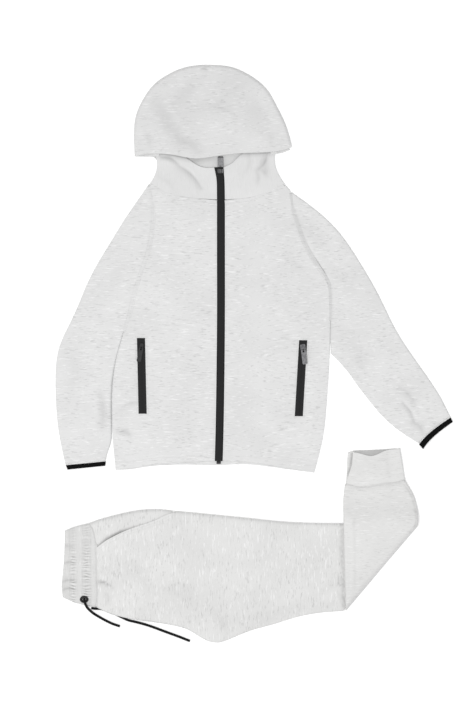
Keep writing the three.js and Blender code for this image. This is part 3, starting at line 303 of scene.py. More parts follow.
# Cloth pieces: their cut in metres (width, length, area of what shows), how they are held, what
# they rest on, how fine the shell is, their folds and the finish.
CLOTH = {
    "jacket": [
        ("jacket_back", (0.394, 0.52, 0.172), "laid", [], 2, [], "knit_across"),
        ("front_right", (0.194, 0.515, 0.077), "laid", ["jacket_back"], 3, JACKET_FOLDS, "knit_across"),
        ("front_left", (0.2, 0.52, 0.085), "laid", ["jacket_back"], 3, JACKET_FOLDS, "knit_across"),
        ("sleeve_right", (0.19, 0.52, 0.084), "laid", [], 3, SLEEVE_FOLDS, "knit_across"),
        ("sleeve_left", (0.19, 0.52, 0.082), "laid", [], 3, SLEEVE_FOLDS, "knit_across"),
    ],
    "hood": [
        ("hood_back", (0.28, 0.228, 0.05), "laid", [], 2, [], "knit_inside_shaded"),
        ("hood_neck_right", (0.122, 0.098, 0.008), "folded", ["hood_back"], 3, NECK_FOLDS, "knit_plain"),
        ("hood_neck_left", (0.112, 0.098, 0.008), "folded", ["hood_back"], 3, NECK_FOLDS, "knit_plain"),
        ("hood_crown", (0.286, 0.17, 0.041), "laid", ["hood_back"], 3, HOOD_FOLDS, "knit_hood"),
    ],
    "trousers": [
        ("leg_hidden_layers", (0.588, 0.242, 0.1), "folded", [], 2, [], "knit_down"),
        ("leg_front", (0.574, 0.238, 0.094), "folded", ["leg_hidden_layers"], 2, LEG_FOLDS, "knit_down"),
        ("pocket_facing", (0.152, 0.076, 0.0052), "laid", ["leg_hidden_layers"], 2, [], "knit_down"),
        ("lower_leg_hidden_layers", (0.134, 0.224, 0.0203), "folded", ["leg_front"], 2, [], "knit_turned"),
        (
            "lower_leg_back", (0.136, 0.236, 0.0238), "folded", ["lower_leg_hidden_layers"], 3,
            TURNUP_FOLDS, "knit_turned",
        ),
        ("ankle_cuff_under", (0.106, 0.069, 0.0067), "folded", [], 2, [], "knit_turned"),
        ("ankle_cuff_top", (0.212, 0.07, 0.0117), "laid", ["ankle_cuff_under"], 3, CUFF_FOLDS, "knit_cuff"),
    ],
    "waistband": [
        ("waistband_hidden_layers", (0.064, 0.151, 0.0092), "folded", [], 2, [], "knit_band"),
        (
            "waistband", (0.064, 0.152, 0.0088), "gathered", ["waistband_hidden_layers"], 1,
            BAND_FOLDS, "knit_band",
        ),
    ],
    "bindings": [
        ("cuff_binding_right", (0.146, 0.012, 0.00125), "laid", [], 2, [], "binding"),
        ("cuff_binding_left", (0.15, 0.012, 0.0016), "laid", [], 2, [], "binding"),
    ],
    "zips": [
        ("main_zip_tape", (0.024, 0.53, 0.0113), "laid", ["jacket_back"], 2, [], "zip_tape"),
        ("pocket_right_tape", (0.0154, 0.137, 0.00203), "laid", ["front_right"], 2, [], "zip_tape"),
        ("pocket_left_tape", (0.0154, 0.137, 0.00204), "laid", ["front_left"], 2, [], "zip_tape"),
    ],
}

# The longest edge of a solid's mesh that its shell keeps, where the folds need a finer one.
LONGEST_EDGE = {"waistband": 9}

# Where a solid's edge stays sharp: at least this angle in degrees, and this share of it upright.
CORNER_ANGLE = 42
CORNER_UPRIGHT = 0.35

# How a solid's triangles become quads: vertices merge within this many metres, and faces are
# joined up to these angles in degrees, between the faces and in a quad's corners.
MERGE_DISTANCE = 0.00002
JOIN_ANGLE = 50
JOIN_CORNER_ANGLE = 100

# Seams: name, pieces on both sides, how far it lies below them, tone (painted shade, matching the cloth
# beside it), finish, points, half width.
SEAMS = [
    ("armhole_seam_right", ["front_right", "sleeve_right"], -0.08, -0.02, "knit_across", [
        (-233, 40), (-227, 60), (-214, 117), (-204, 146), (-192, 180), (-185, 211), (-181.5, 243),
        (-182.5, 269), (-188.2, 303.4),
    ]),
    ("armhole_seam_left", ["front_left", "sleeve_left"], 0.05, -0.14, "knit_across", [
        (138, 60), (138.4, 75), (136.6, 128), (112.6, 164.4), (94.6, 195.3), (79.6, 236), (70.4, 265),
        (66.6, 289.6),
    ]),
    ("neck_seam_right", ["front_right", "hood_neck_right"], -0.12, -0.01, "knit_across", [
        (-186, 304.9), (-160, 290), (-124, 280), (-66.2, 274.2),
    ]),
    ("neck_seam_left", ["front_left", "hood_neck_left"], -0.12, -0.01, "knit_across", [
        (-52.2, 274.2), (-7, 279), (29, 291), (55, 304),
    ]),
    ("waistband_seam", ["waistband", "leg_front", "pocket_facing"], 0.5, -0.12, "knit_down", [
        (-283, -454), (-281, -428), (-283, -406), (-283, -370), (-284, -348), (-285.5, -334),
        (-290, -315), (-297, -306),
    ]),
    ("ankle_seam", ["lower_leg_back", "ankle_cuff_top"], 0.5, -0.12, "knit_turned", [
        (166, -234), (176, -238), (190, -240), (207, -239), (220, -236), (234, -233), (263, -231),
        (272, -228),
    ]),
    ("hood_hem_right", ["hood_neck_right", "hood_back"], -0.5, -0.02, "knit_hood", [
        (-212.6, 360.8), (-200, 360.6), (-186, 360.2), (-170, 361.2),
    ], 5),
    ("hood_hem_left", ["hood_neck_left", "hood_back"], -0.5, -0.02, "knit_hood", [
        (30, 364.2), (49, 367), (63.4, 372.4),
    ], 5),
]

# Rows of stitches: name, pieces that they lie on, lines.
STITCHES = [
    ("hem_stitches", ["front_right", "front_left"], [
        [(-246, -196), (-219, -194), (-190, -188), (-133, -185), (-68, -183.5)],
        [(-54, -183.5), (-16, -184), (22, -188), (65, -194), (110, -201)],
    ]),
    ("armhole_stitches", ["front_right", "front_left"], [
        [(-222, 60), (-209.5, 117), (-200, 146), (-187.5, 180), (-180.5, 211), (-177, 243), (-178, 269)],
        [(132.5, 128), (108, 162), (90, 193), (75.5, 234), (66.4, 262)],
    ]),
    ("neck_stitches", ["front_right", "front_left"], [
        [(-180, 299), (-160, 286.4), (-124, 276.4), (-70, 270.6)],
        [(-48, 270.6), (-7, 275.4), (29, 287.4), (52, 299)],
    ]),
    ("zip_stitches", ["front_right", "front_left", "hood_neck_right", "hood_neck_left"], [
        [(-72.6, -186), (-71.4, -136), (-69.8, -46), (-68.8, 62), (-68.8, 270), (-69.6, 326)],
        [(-52.8, -186), (-51.6, -136), (-50.2, -46), (-49.2, 62), (-49.2, 270), (-50.2, 332)],
    ]),
    ("pocket_zip_stitches", ["front_right", "front_left"], [
        [(-213.4, 32), (-210.4, -110), (-189.6, -110), (-192.6, 32), (-213.4, 32)],
        [(78.6, 28), (70.8, -114), (91.4, -114.6), (99.4, 28), (78.6, 28)],
    ]),
    ("slant_stitches", ["leg_front"], [
        [(-279, -350), (-263, -336.6), (-238, -323), (-200, -311), (-168, -300), (-152, -291)],
        [(-275, -353), (-260, -340), (-236, -327), (-199, -315), (-167, -304.4), (-149, -295)],
    ]),
    ("waistband_stitches", ["waistband"], [
        [(-331, -444), (-332, -421), (-331, -370), (-330, -316)],
        [(-308.5, -450), (-309, -421), (-308.6, -370), (-308.5, -309)],
        [(-293.5, -452), (-292.6, -421), (-293.4, -370), (-298, -308)],
    ]),
    ("ankle_stitches", ["lower_leg_back"], [
        [(170, -240.5), (190, -244.4), (207, -243.4), (220, -240.4), (234, -237.4), (264, -235.6)],
    ]),
    ("ankle_mouth_stitches", ["ankle_cuff_top"], [[(182, -186), (196, -190), (232, -190), (262, -183)]]),
]

# A seam's strip across: the share of its width and how far it lies below the cloth.
STRIP_SECTION = [
    (0, 1.7), (0, 0.5), (0.1, 0.12), (0.25, 0), (0.5, 0.04), (0.75, 0), (0.9, 0.12), (1, 0.5), (1, 1.7),
]

# From one ring of a strip to the next, and how far to each side the cloth's height is taken.
STRIP_STEP = 2.5
STRIP_FOOT = 2.4

# The middle lines of the zips' coils.
ZIP_LINE = [
    (-62.7, -190), (-61.5, -136), (-60, -46), (-59, 62), (-59, 191), (-59, 278), (-60, 318), (-60.3, 328),
]
POCKET_LINES = {
    "pocket_right_coil": [(-200.1, -105), (-201.5, -40), (-202.3, 8)],
    "pocket_left_coil": [(81.1, -109), (84.8, -45), (88.2, 4)],
}

# The coils: half widths, from one tooth to the next, and a tooth's thickness and bevel.
COIL_HALF_WIDTH = 2.4
POCKET_COIL_HALF_WIDTH = 1.8
COIL_PITCH = 1.5
COIL_THICKNESS = 0.55
COIL_BEVEL = 0.14

# The paint on the main zip's slider and tab: between which places along the zip it changes, and
# the shift and turn, in radians a millimetre, of the painted glints, light bars, on the slider.
SLIDER_TO_TAB = (337.6, 336)
TAB_TO_DARK_END = (353.8, 354.8)
GLINTS_START = (325.6, 327)
GLINTS_END = (333.6, 332.4)
GLINT_SHIFT = 60
GLINT_TURN = 1.9

METAL_PARTS = {
    "black_metal": [
        "main_zip_box", "pocket_right_zip_slider", "pocket_right_zip_pull", "drawcord_eyelet",
    ],
    "grey_metal": ["pocket_left_zip_pull"],
    "dark_metal": ["pocket_left_zip_slider"],
    "tab_metal": ["main_zip_pull", "main_zip_slider"],
}


# Settings

class TracksuitSettings(bpy.types.PropertyGroup):
    cloth_color: FloatVectorProperty(
        name="Cloth colour", description="Ground colour of the knit, linear", subtype="COLOR",
        default=(0.7, 0.7, 0.699), min=0, max=1,
    )
    trouser_color: FloatVectorProperty(
        name="Trouser colour", description="Ground colour of the trousers, linear", subtype="COLOR",
        default=(0.695, 0.694, 0.688), min=0, max=1,
    )
    slub_length: FloatProperty(
        name="Slub length", description="Length of the flecks in the yarn", unit="LENGTH",
        default=0.011, min=0.002, max=0.1,
    )
    slub_width: FloatProperty(
        name="Slub width", description="Width of the flecks in the yarn", unit="LENGTH",
        default=0.0019, min=0.0002, max=0.01,
    )
    stitch_pitch: FloatProperty(
        name="Stitch pitch", description="From one stitch to the next", unit="LENGTH",
        default=0.0034, min=0.001, max=0.01,
    )
    gather_pitch: FloatProperty(
        name="Gather pitch", description="From one gather of the waistband to the next", unit="LENGTH",
        default=0.0052, min=0.002, max=0.02,
    )
    light_power: FloatProperty(
        name="Key light", description="Power of the large lamp in watts", default=130, min=0, max=2000,
    )
    sky: FloatProperty(
        name="Sky", description="Strength of the even light from all round", default=0.56, min=0, max=5,
    )


def settings():
    return bpy.context.scene.tracksuit


# Shader maths

class Value:
    """A shader socket or number with the arithmetic of Python."""

    def __init__(self, paint, socket):
        self.paint = paint
        self.socket = socket

    def _math(self, operation, *others):
        return self.paint.node("ShaderNodeMath", {"operation": operation}, dict(enumerate((self, *others))))

    def __add__(self, other):
        return self._math("ADD", other)

    def __sub__(self, other):
        return self._math("SUBTRACT", other)

    def __mul__(self, other):
        return self._math("MULTIPLY", other)

    def __rmul__(self, other):
        return self._math("MULTIPLY", other)

    def __radd__(self, other):
        return self._math("ADD", other)

    def __rsub__(self, other):
        return (self * -1)._math("ADD", other)

    def sin(self):
        return self._math("SINE")

    def ramp(self, low, high):
        """0 below low and 1 above high, or the other way round."""
        options = {"interpolation_type": "SMOOTHSTEP"}
        inputs = {"Value": self, "From Min": low, "From Max": high}
        return self.paint.node("ShaderNodeMapRange", options, inputs)


class Paint:
    """One material under construction."""

    def __init__(self, name):
        self.material = bpy.data.materials.new(name)
        self.material.use_nodes = True
        self.tree = self.material.node_tree
        self.tree.nodes.clear()

    def node(self, kind, options, inputs, output=0):
        made = self.tree.nodes.new(kind)
        for key, value in options.items():
            setattr(made, key, value)
        for key, value in inputs.items():
            if isinstance(value, Value):
                self.tree.links.new(value.socket, made.inputs[key])
            else:
                made.inputs[key].default_value = value
        return Value(self, made.outputs[output]) if output is not None else None

    def place(self, scale):
        """The object's own coordinates over a size in metres each way."""
        where = self.node("ShaderNodeTexCoord", {}, {}, "Object")
        over = tuple(1 / s for s in scale)
        return self.node("ShaderNodeMapping", {}, {"Vector": where, "Scale": over})

    def cloud(self, scale, detail=2.0, roughness=0.5, warp=0.0):
        inputs = {"Vector": self.place(scale), "Scale": 1.0, "Detail": detail, "Roughness": roughness}
        inputs["Distortion"] = warp
        return self.node("ShaderNodeTexNoise", {}, inputs)

    def mix(self, share, first, second):
        inputs = {"Factor": share, 6: first, 7: second}
        return self.node("ShaderNodeMix", {"data_type": "RGBA"}, inputs, 2)

    def finish(self, color, roughness, bump=None, depth=0.0002, **fixed):
        inputs = {"Base Color": color, "Roughness": roughness}
        if bump is not None:
            inputs["Normal"] = self.node("ShaderNodeBump", {}, {"Height": bump, "Distance": depth})
        inputs.update(fixed)
        surface = self.node("ShaderNodeBsdfPrincipled", {}, inputs)
        self.node("ShaderNodeOutputMaterial", {}, {"Surface": surface}, None)
        return self.material


def rgba(color, factor=1.0):
    return (*(c * factor for c in color), 1.0)


def painted_shade_and_highlight(paint, color):
    """The colour deepened in a piece's creases and lightened on its ridges, by its tone attribute."""
    tone = paint.node("ShaderNodeAttribute", {"attribute_name": "tone"}, {}, "Fac")
    deep = paint.mix(tone * -1, color, (0.0, 0.0, 0.0, 1))
    return paint.mix(tone, deep, (1, 1, 1, 1))


def heather_knit(name, color, along, fleck=1.0):
    """Light heather jersey: flecks of dark and bright yarn that run one way, and fine stitches."""
    paint = Paint(name)
    long, wide = settings().slub_length, settings().slub_width
    flecks = []
    for k, longer in enumerate((1.0, 1.35)):
        size = (long * longer, wide, 0.02) if along == "X" else (wide, long * longer, 0.02)
        flecks.append(paint.cloud(size, 2.0 + k, 0.55, 0.4 * k))
    patches = paint.cloud((0.045, 0.045, 0.045), 2.0)
    tone = paint.cloud((0.08, 0.06, 0.08), 3.0)
    spread = patches.ramp(0.28, 0.6) * 0.75 + 0.25
    dark = flecks[0].ramp(0.57, 0.67) * spread * (0.62 * fleck)
    bright = flecks[1].ramp(0.57, 0.67) * (1 - spread * 0.4) * (0.75 * fleck)
    ground = paint.mix(tone.ramp(0.3, 0.7), rgba(color, 0.965), rgba(color, 1.02))
    shaded = paint.mix(dark, ground, rgba(color, 0.7))
    final = paint.mix(bright, shaded, (0.88, 0.88, 0.88, 1))
    fine = (0.0012, 0.0008, 0.004) if along == "X" else (0.0008, 0.0012, 0.004)
    stitches = paint.cloud(fine, 2.0, 0.7)
    height = stitches * 0.6 + flecks[0] * 0.4
    fixed = {"Sheen Weight": 0.12, "Sheen Roughness": 0.6, "Specular IOR Level": 0.2}
    return paint.finish(painted_shade_and_highlight(paint, final), 0.93, height, 0.00028, **fixed)


def rib_binding():
    """Black ribbed binding at the sleeve ends."""
    paint = Paint("binding_black")
    where = paint.node("ShaderNodeSeparateXYZ", {}, {"Vector": paint.place((0.0016, 0.0016, 0.0016))})
    ribs = (where * (2 * math.pi)).sin() * 0.5 + 0.5
    fuzz = paint.cloud((0.0008, 0.0008, 0.0008), 3.0)
    color = paint.mix(fuzz.ramp(0.3, 0.75), (0.0025, 0.0025, 0.0027, 1), (0.006, 0.006, 0.0063, 1))
    return paint.finish(color, 0.9, ribs * 0.7 + fuzz * 0.3, 0.0003, **{"Specular IOR Level": 0.1})


def zip_tape():
    """Woven black tape, a little uneven in tone."""
    paint = Paint("zip_tape_black")
    weave = paint.cloud((0.0005, 0.0011, 0.002), 2.0)
    tone = paint.cloud((0.02, 0.05, 0.02), 2.0)
    color = paint.mix(weave.ramp(0.3, 0.7), (0.011, 0.011, 0.0115, 1), (0.018, 0.018, 0.0185, 1))
    color = paint.mix(tone.ramp(0.3, 0.8), color, (0.015, 0.015, 0.0155, 1))
    return paint.finish(color, 0.8, weave, 0.00015, **{"Specular IOR Level": 0.25})


def coil_plastic():
    """Black coil of the zips."""
    paint = Paint("zip_coil_black")
    grain = paint.cloud((0.002, 0.002, 0.002), 2.0)
    color = paint.mix(grain.ramp(0.3, 0.7), (0.007, 0.007, 0.0075, 1), (0.013, 0.013, 0.0135, 1))
    fixed = {"Specular IOR Level": 0.3}
    return paint.finish(color, grain.ramp(0.0, 1.0) * 0.15 + 0.5, grain, 0.00003, **fixed)


def metal(name, color, rough, wear, metallic):
    """Plated or painted zip metal with rubbed spots and fine scratches."""
    paint = Paint(name)
    scratch = paint.cloud((0.0004, 0.006, 0.0004), 4.0, 0.65)
    spots = paint.cloud((0.003, 0.003, 0.003), 3.0)
    tint = paint.mix(spots.ramp(0.35, 0.7), rgba(color), rgba(wear))
    fixed = {"Metallic": metallic, "Specular IOR Level": 0.22}
    return paint.finish(tint, scratch * 0.2 + rough, scratch, 0.00002, **fixed)


def slider_and_tab():
    """The main zip's tab: rubbed grey between its dark end and the black slider with light bars."""
    paint = Paint("metal_tab")
    spots = paint.cloud((0.002, 0.003, 0.002), 3.0)
    where = paint.node("ShaderNodeSeparateXYZ", {}, {"Vector": paint.place((MM, MM, MM))})
    up = Value(paint, where.socket.node.outputs["Y"])
    glints = ((where + GLINT_SHIFT) * GLINT_TURN).sin().ramp(0.2, 0.95) * up.ramp(*GLINTS_END) * up.ramp(*GLINTS_START)
    light = paint.mix(spots.ramp(0.35, 0.7), (0.26, 0.26, 0.265, 1), (0.36, 0.36, 0.37, 1))
    tint = paint.mix(up.ramp(*SLIDER_TO_TAB), light, (0.008, 0.008, 0.0085, 1))
    tint = paint.mix(up.ramp(*TAB_TO_DARK_END), tint, (0.01, 0.01, 0.0105, 1))
    # Painted glints: light bars across the slider.
    tint = paint.mix(glints * 0.7, tint, (0.3, 0.3, 0.31, 1))
    fixed = {"Metallic": 0.3, "Specular IOR Level": 0.22}
    return paint.finish(tint, spots * 0.2 + 0.35, spots, 0.00003, **fixed)


def braided_cord():
    """Black braid, as small raised cells of yarn."""
    paint = Paint("cord_black")
    where = paint.place((0.0022, 0.0022, 0.0022))
    cells = paint.node("ShaderNodeTexVoronoi", {"feature": "F1"}, {"Vector": where, "Scale": 1.0})
    fuzz = paint.cloud((0.0006, 0.0006, 0.0006), 3.0)
    color = paint.mix(cells.ramp(0.15, 0.75), (0.008, 0.008, 0.0085, 1), (0.003, 0.003, 0.0033, 1))
    fixed = {"Sheen Weight": 0.04, "Specular IOR Level": 0.2}
    return paint.finish(color, 0.85, (1 - cells) * 0.8 + fuzz * 0.2, 0.0004, **fixed)


def sewing_thread():
    """Pale grey thread of the topstitching."""
    paint = Paint("thread_grey")
    twist = paint.cloud((0.0006, 0.0006, 0.0006), 2.0)
    color = paint.mix(twist.ramp(0.3, 0.7), (0.6, 0.6, 0.595, 1), (0.74, 0.74, 0.735, 1))
    return paint.finish(color, 0.7, twist, 0.0001)


def shaded_reverse_knit():
    """Inner side of the jersey, plainer and a little deeper in tone."""
    paint = Paint("knit_inside_shaded")
    loops = paint.cloud((0.0011, 0.0011, 0.0011), 3.0, 0.7)
    tone = paint.cloud((0.03, 0.03, 0.03), 2.0)
    # Darker than the outer knit: painted shade on the inside of the hood.
    color = paint.mix(tone.ramp(0.3, 0.7), (0.6, 0.6, 0.598, 1), (0.66, 0.66, 0.657, 1))
    fixed = {"Sheen Weight": 0.1, "Specular IOR Level": 0.15}
    return paint.finish(painted_shade_and_highlight(paint, color), 0.95, loops, 0.0004, **fixed)


MAKERS = {
    "knit_across": lambda: heather_knit("knit_across", settings().cloth_color, "X"),
    "knit_plain": lambda: heather_knit("knit_plain", settings().cloth_color, "Y", 0.25),
    "knit_hood": lambda: heather_knit("knit_hood", [0.97 * c for c in settings().cloth_color], "X", 0.8),
    "knit_down": lambda: heather_knit("knit_down", settings().trouser_color, "Y"),
    "knit_turned": lambda: heather_knit("knit_turned", settings().trouser_color, "X", 0.78),
    "knit_cuff": lambda: heather_knit("knit_cuff", [1.01 * c for c in settings().trouser_color], "X", 0.6),
    "knit_band": lambda: heather_knit("knit_band", [0.95 * c for c in settings().trouser_color], "Y", 0.5),
    "knit_inside_shaded": shaded_reverse_knit,
    "binding": rib_binding,
    "zip_tape": zip_tape,
    "coil": coil_plastic,
    "black_metal": lambda: metal("metal_black", (0.006, 0.006, 0.0065), 0.38, (0.014, 0.014, 0.015), 0.1),
    "grey_metal": lambda: metal("metal_grey", (0.1, 0.1, 0.104), 0.38, (0.16, 0.16, 0.165), 0.6),
    "dark_metal": lambda: metal("metal_dark", (0.05, 0.05, 0.052), 0.3, (0.1, 0.1, 0.104), 0.5),
    "tab_metal": slider_and_tab,
    "cord": braided_cord,
    "thread": sewing_thread,
}
made_finishes = {}


def finish_of(name):
    if name not in made_finishes:
        made_finishes[name] = MAKERS[name]()
    return made_finishes[name]


# Cloth

def new_piece(name, bm, finish):
    mesh = bpy.data.meshes.new(name)
    bm.to_mesh(mesh)
    bm.free()
    return dress(name, mesh, finish)


def dress(name, mesh, finish):
    mesh.materials.clear()
    mesh.materials.append(finish_of(finish))
    mesh.shade_smooth()
    obj = bpy.data.objects.new(name, mesh)
    bpy.context.collection.objects.link(obj)
    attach(obj, "suit")
    return obj


def keep_corners(bm):
    """Marks the upright edges at a piece's corners, so that they stay sharp when it is refined."""
    layer = bm.edges.layers.float.new("crease_edge")
    for edge in bm.edges:
        run = edge.verts[1].co - edge.verts[0].co
        sharp = edge.calc_face_angle(0) > math.radians(CORNER_ANGLE)
        if sharp and abs(run.z) > CORNER_UPRIGHT * run.length:
            edge[layer] = 1


def shell_of(node, levels):
    """A smooth, finer copy of a solid's mesh."""
    bm = bmesh.new()
    bm.from_mesh(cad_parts[node].data)
    bmesh.ops.remove_doubles(bm, verts=bm.verts, dist=MERGE_DISTANCE)
    bmesh.ops.join_triangles(
        bm, faces=bm.faces, angle_face_threshold=math.radians(JOIN_ANGLE),
        angle_shape_threshold=math.radians(JOIN_CORNER_ANGLE),
    )
    if node in LONGEST_EDGE:
        long = [edge for edge in bm.edges if edge.calc_length() > LONGEST_EDGE[node] * MM]
        bmesh.ops.subdivide_edges(bm, edges=long, cuts=4, use_grid_fill=True)
    keep_corners(bm)
    mesh = bpy.data.meshes.new(node + "_shell")
    bm.to_mesh(mesh)
    bm.free()
    obj = bpy.data.objects.new(node + "_shell", mesh)
    bpy.context.collection.objects.link(obj)
    smooth = obj.modifiers.new("Fine", "SUBSURF")
    smooth.levels = smooth.render_levels = levels
    depsgraph = bpy.context.evaluated_depsgraph_get()
    fine = bpy.data.meshes.new_from_object(obj.evaluated_get(depsgraph))
    bpy.data.objects.remove(obj)
    bpy.data.meshes.remove(mesh)
    return fine


def fade(distance, width):
    """1 at no distance, and softly less over a width."""
    return np.exp(-((distance / width) ** 2))


def sway(x, y, wide, tall, seed):
    """Uneven waves over the plan, about 1 high, wide and tall as given."""
    return np.array([noise.noise(Vector((px / wide, py / tall, seed))) for px, py in zip(x, y)])


def folds_at(folds, x, y):
    """The height and the tone that a table of folds adds at points of the plan.

    A fold bows a little to one side and fades past its ends, and a sharp one is steeper on one side.
    """
    height, tone = np.zeros_like(x), np.zeros_like(x)
    for start, end, width, rise, sharp in folds:
        run = np.array(end, float) - start
        length = np.hypot(*run)
        along = ((x - start[0]) * run[0] + (y - start[1]) * run[1]) / length**2
        off = ((x - start[0]) * run[1] - (y - start[1]) * run[0]) / length
        off = off + min(0.12 * length, LONGEST_BOW) * np.sin(np.pi * np.clip(along, 0, 1))
        steep = 0.45 if sharp < 1.25 else 1
        side = np.where(off > 0, width, width * steep)
        past = np.maximum(0, np.maximum(-along, along - 1)) * length / width
        taper = 0.55 + 0.45 * np.sin(np.pi * np.clip(along, 0, 1))
        bell = taper * np.exp(-np.abs(off / side) ** sharp - past**2)
        height += rise * bell
        # Painted shade in a trough and painted highlight on a ridge, more where the fold is steep.
        tone += (0.75 if rise < 0 else 0.2) * rise / width * bell
    return height, tone


def away_from(points, x, y):
    """How far points of the plan lie from a run of points."""
    nearest = np.full_like(x, np.inf)
    for start, end in zip(points, points[1:]):
        run = np.array(end, float) - start
        share = np.clip(((x - start[0]) * run[0] + (y - start[1]) * run[1]) / run.dot(run), 0, 1)
        nearest = np.minimum(nearest, np.hypot(x - start[0] - share * run[0], y - start[1] - share * run[1]))
    return nearest


def crease(node, points, upward, folds):
    """Folds, the soft lines at seams and edges, and a slow uneven sway, on a shell's upper side."""
    x, y = points[:, 0], points[:, 1]
    slow = sway(x, y, 62, 62, 3.1) + 0.5 * sway(x, y, 27, 27, 7.7)
    height, tone = folds_at(folds, x, y)
    height = FOLD_STRENGTH * height + (0.35 * slow if folds else 0)
    for nodes, width, rise, shade, line in SOFT_LINES:
        if node in nodes:
            near = fade(away_from(line, x, y), width)
            height += rise * near
            # Painted shade along the soft line.
            tone -= shade * near
    deepest = DEEPEST_FREE_DENT if node in FREE_UNDERNEATH else DEEPEST_DENT
    points[:, 2] += upward * np.maximum(height, -deepest)
    return tone * upward


def gather(points, upward):
    """The waistband: two rows of sewing draw the cloth into short gathers over the elastic."""
    x, y = points[:, 0], points[:, 1]
    wander = sway(x, y, 9, 7, 1.3)
    broad = sway(x, y, 30, 11, 5.9)
    phase = (y - BAND_END) / settings().gather_pitch * 2 * np.pi * MM + 3.4 * wander
    strength = (0.3 + 0.9 * np.clip((DEEPER_BELOW - y) / 22, 0, 1)) * (0.8 + 1.5 * broad)
    rows = sum(depth * fade(x - row, half) for row, half, depth in GATHER_ROWS)
    wave = np.cos(phase) * rows * strength
    strips = sum(fade(x - strip, 4) for strip in SMOOTH_STRIPS)
    lines = sum(fade(x - line, 0.8) for line in SEWN_LINES)
    points[:, 2] += upward * (0.9 * wave - 0.7 * np.minimum(rows, 1) + 0.5 * broad - 0.4 * lines)
    # The tone: painted shade in the gathers' hollows, down the rows and along the sewing, and painted
    # highlight on their crests and on the smooth strips.
    return upward * (0.32 * wave - 0.05 * rows + 0.05 * broad - 0.07 * lines + 0.03 * strips - 0.02)


def open_pocket(points, upward):
    """The slant pocket's edge stands off the piece behind it, most at its lower end."""
    x, y = points[:, 0], points[:, 1]
    near = fade(away_from(POCKET_SLANT, x, y), 6)
    share = fade(x - POCKET_OPEN_AT, 26)
    points[:, 1] -= 2.4 * near * share
    points[:, 2] += upward * 1.3 * near * share
    # A little painted highlight along the pocket's raised edge.
    return upward * 0.03 * near


def sink_pocket(points, upward):
    """The piece seen beyond the slant pocket falls away into it."""
    x, y = points[:, 0], points[:, 1]
    away = away_from([(px, py - 2) for px, py in POCKET_SLANT], x, y)
    share = fade(x - POCKET_OPEN_AT, 34)
    points[:, 2] -= upward * 1.5 * fade(away, 7) * share
    # Painted shade down into the pocket's opening, deepest where it stands open most.
    return -upward * (0.06 + 0.5 * share) * fade(away, 3.2)


def shade_mouth(points, upward):
    """The inside of the ankle cuff, seen through the dip in its mouth."""
    y, z = points[:, 1], points[:, 2]
    inside = (z > MOUTH_HEIGHTS[0]) & (z < MOUTH_HEIGHTS[1]) & (y < MOUTH_END)
    return -0.34 * inside * upward


def settle_sleeve(node):
    def settle(points, upward):
        """The sleeve lies right against the side of the body below the armpit."""
        x, y = points[:, 0], points[:, 1]
        down, edge, nearer, shade = np.array(SLEEVE_EDGES[node], float).T
        inside = x - np.interp(y, down, edge)
        points[:, 0] += np.interp(y, down, nearer, 0, 0) * fade(inside, EDGE_SPREAD)
        # Painted shade along the sleeve's inner edge, where it lies against the body.
        tone = -upward * np.interp(y, down, shade, 0, 0) * fade(inside, EDGE_SHADE_WIDTH)
        if node == "sleeve_left":
            bow_cuff(points, upward)
        return tone

    return settle


def bow_cuff(points, upward):
    """The left cuff bows into the sleeve, and its binding stands out a little."""
    start, end = (np.array(place, float) for place in CUFF_LINE)
    run = end - start
    way = np.array([-run[1], run[0]]) / np.hypot(*run)
    share = np.clip((points[:, :2] - start) @ run / run.dot(run), 0, 1)
    off = (points[:, :2] - start) @ way
    bow = CUFF_BOW * np.sin(np.pi * share**0.75) * np.exp(-np.maximum(0, off) / CUFF_BOW_REACH)
    bow += BINDING_WIDENS * np.minimum(0, off)
    points[:, :2] += bow[:, None] * way
    return 0


def fill_shoulder(points, upward):
    """The left front's corner at the shoulder runs on into the sleeve's edge."""
    off = (points[:, :2] - SHOULDER_CORNER) / SHOULDER_SPREAD
    points[:, :2] += np.exp(-(off**2).sum(axis=1))[:, None] * SHOULDER_REACH
    return 0


def meet_box(points, upward):
    """The main zip's tape runs down to the box at its lower end."""
    x, y = points[:, 0], points[:, 1]
    middle = np.exp(-(((x - ZIP_LINE[0][0]) / 7) ** 4))
    points[:, 1] -= TAPE_REACH * middle * np.exp(-np.maximum(0, y - TAPE_END) / 3)
    return 0


# What else is done to a piece's points; each function gives back what it adds to the tone, its painted shade
# or highlight.
EXTRAS = {
    "main_zip_tape": meet_box, "front_left": fill_shoulder, "jacket_back": fill_shoulder,
    "sleeve_left": settle_sleeve("sleeve_left"), "sleeve_right": settle_sleeve("sleeve_right"),
    "cuff_binding_left": bow_cuff, "waistband": gather, "leg_front": open_pocket,
    "pocket_facing": sink_pocket, "ankle_cuff_top": shade_mouth,
}


def cloth_piece(row):
    node, (width, length, area), held, rests, levels, folds, finish = row
    mesh = shell_of(node, levels)
    count = len(mesh.vertices)
    points, normals = np.empty(count * 3), np.empty(count * 3)
    mesh.vertices.foreach_get("co", points)
    mesh.vertices.foreach_get("normal", normals)
    points = points.reshape(-1, 3) / MM
    level = normals.reshape(-1, 3)[:, 2]
    upward = np.clip(((abs(level) if node in FREE_UNDERNEATH else level) - 0.15) / 0.55, 0, 1)
    tone = crease(node, points, upward, folds)
    if node in EXTRAS:
        tone = tone + EXTRAS[node](points, upward)
    mesh.vertices.foreach_set("co", (points * MM).ravel())
    # The tone attribute: painted shade in creases and painted highlight on ridges, read by the finish.
    mesh.attributes.new("tone", "FLOAT", "POINT").data.foreach_set("value", np.clip(tone, -0.6, 0.3))
    mesh.update()
    obj = dress(node + "_cloth", mesh, finish)
    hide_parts(node)
    resting = [name + "_cloth" for name in rests]
    min(area, width * length)
    return obj


# Lines on the cloth

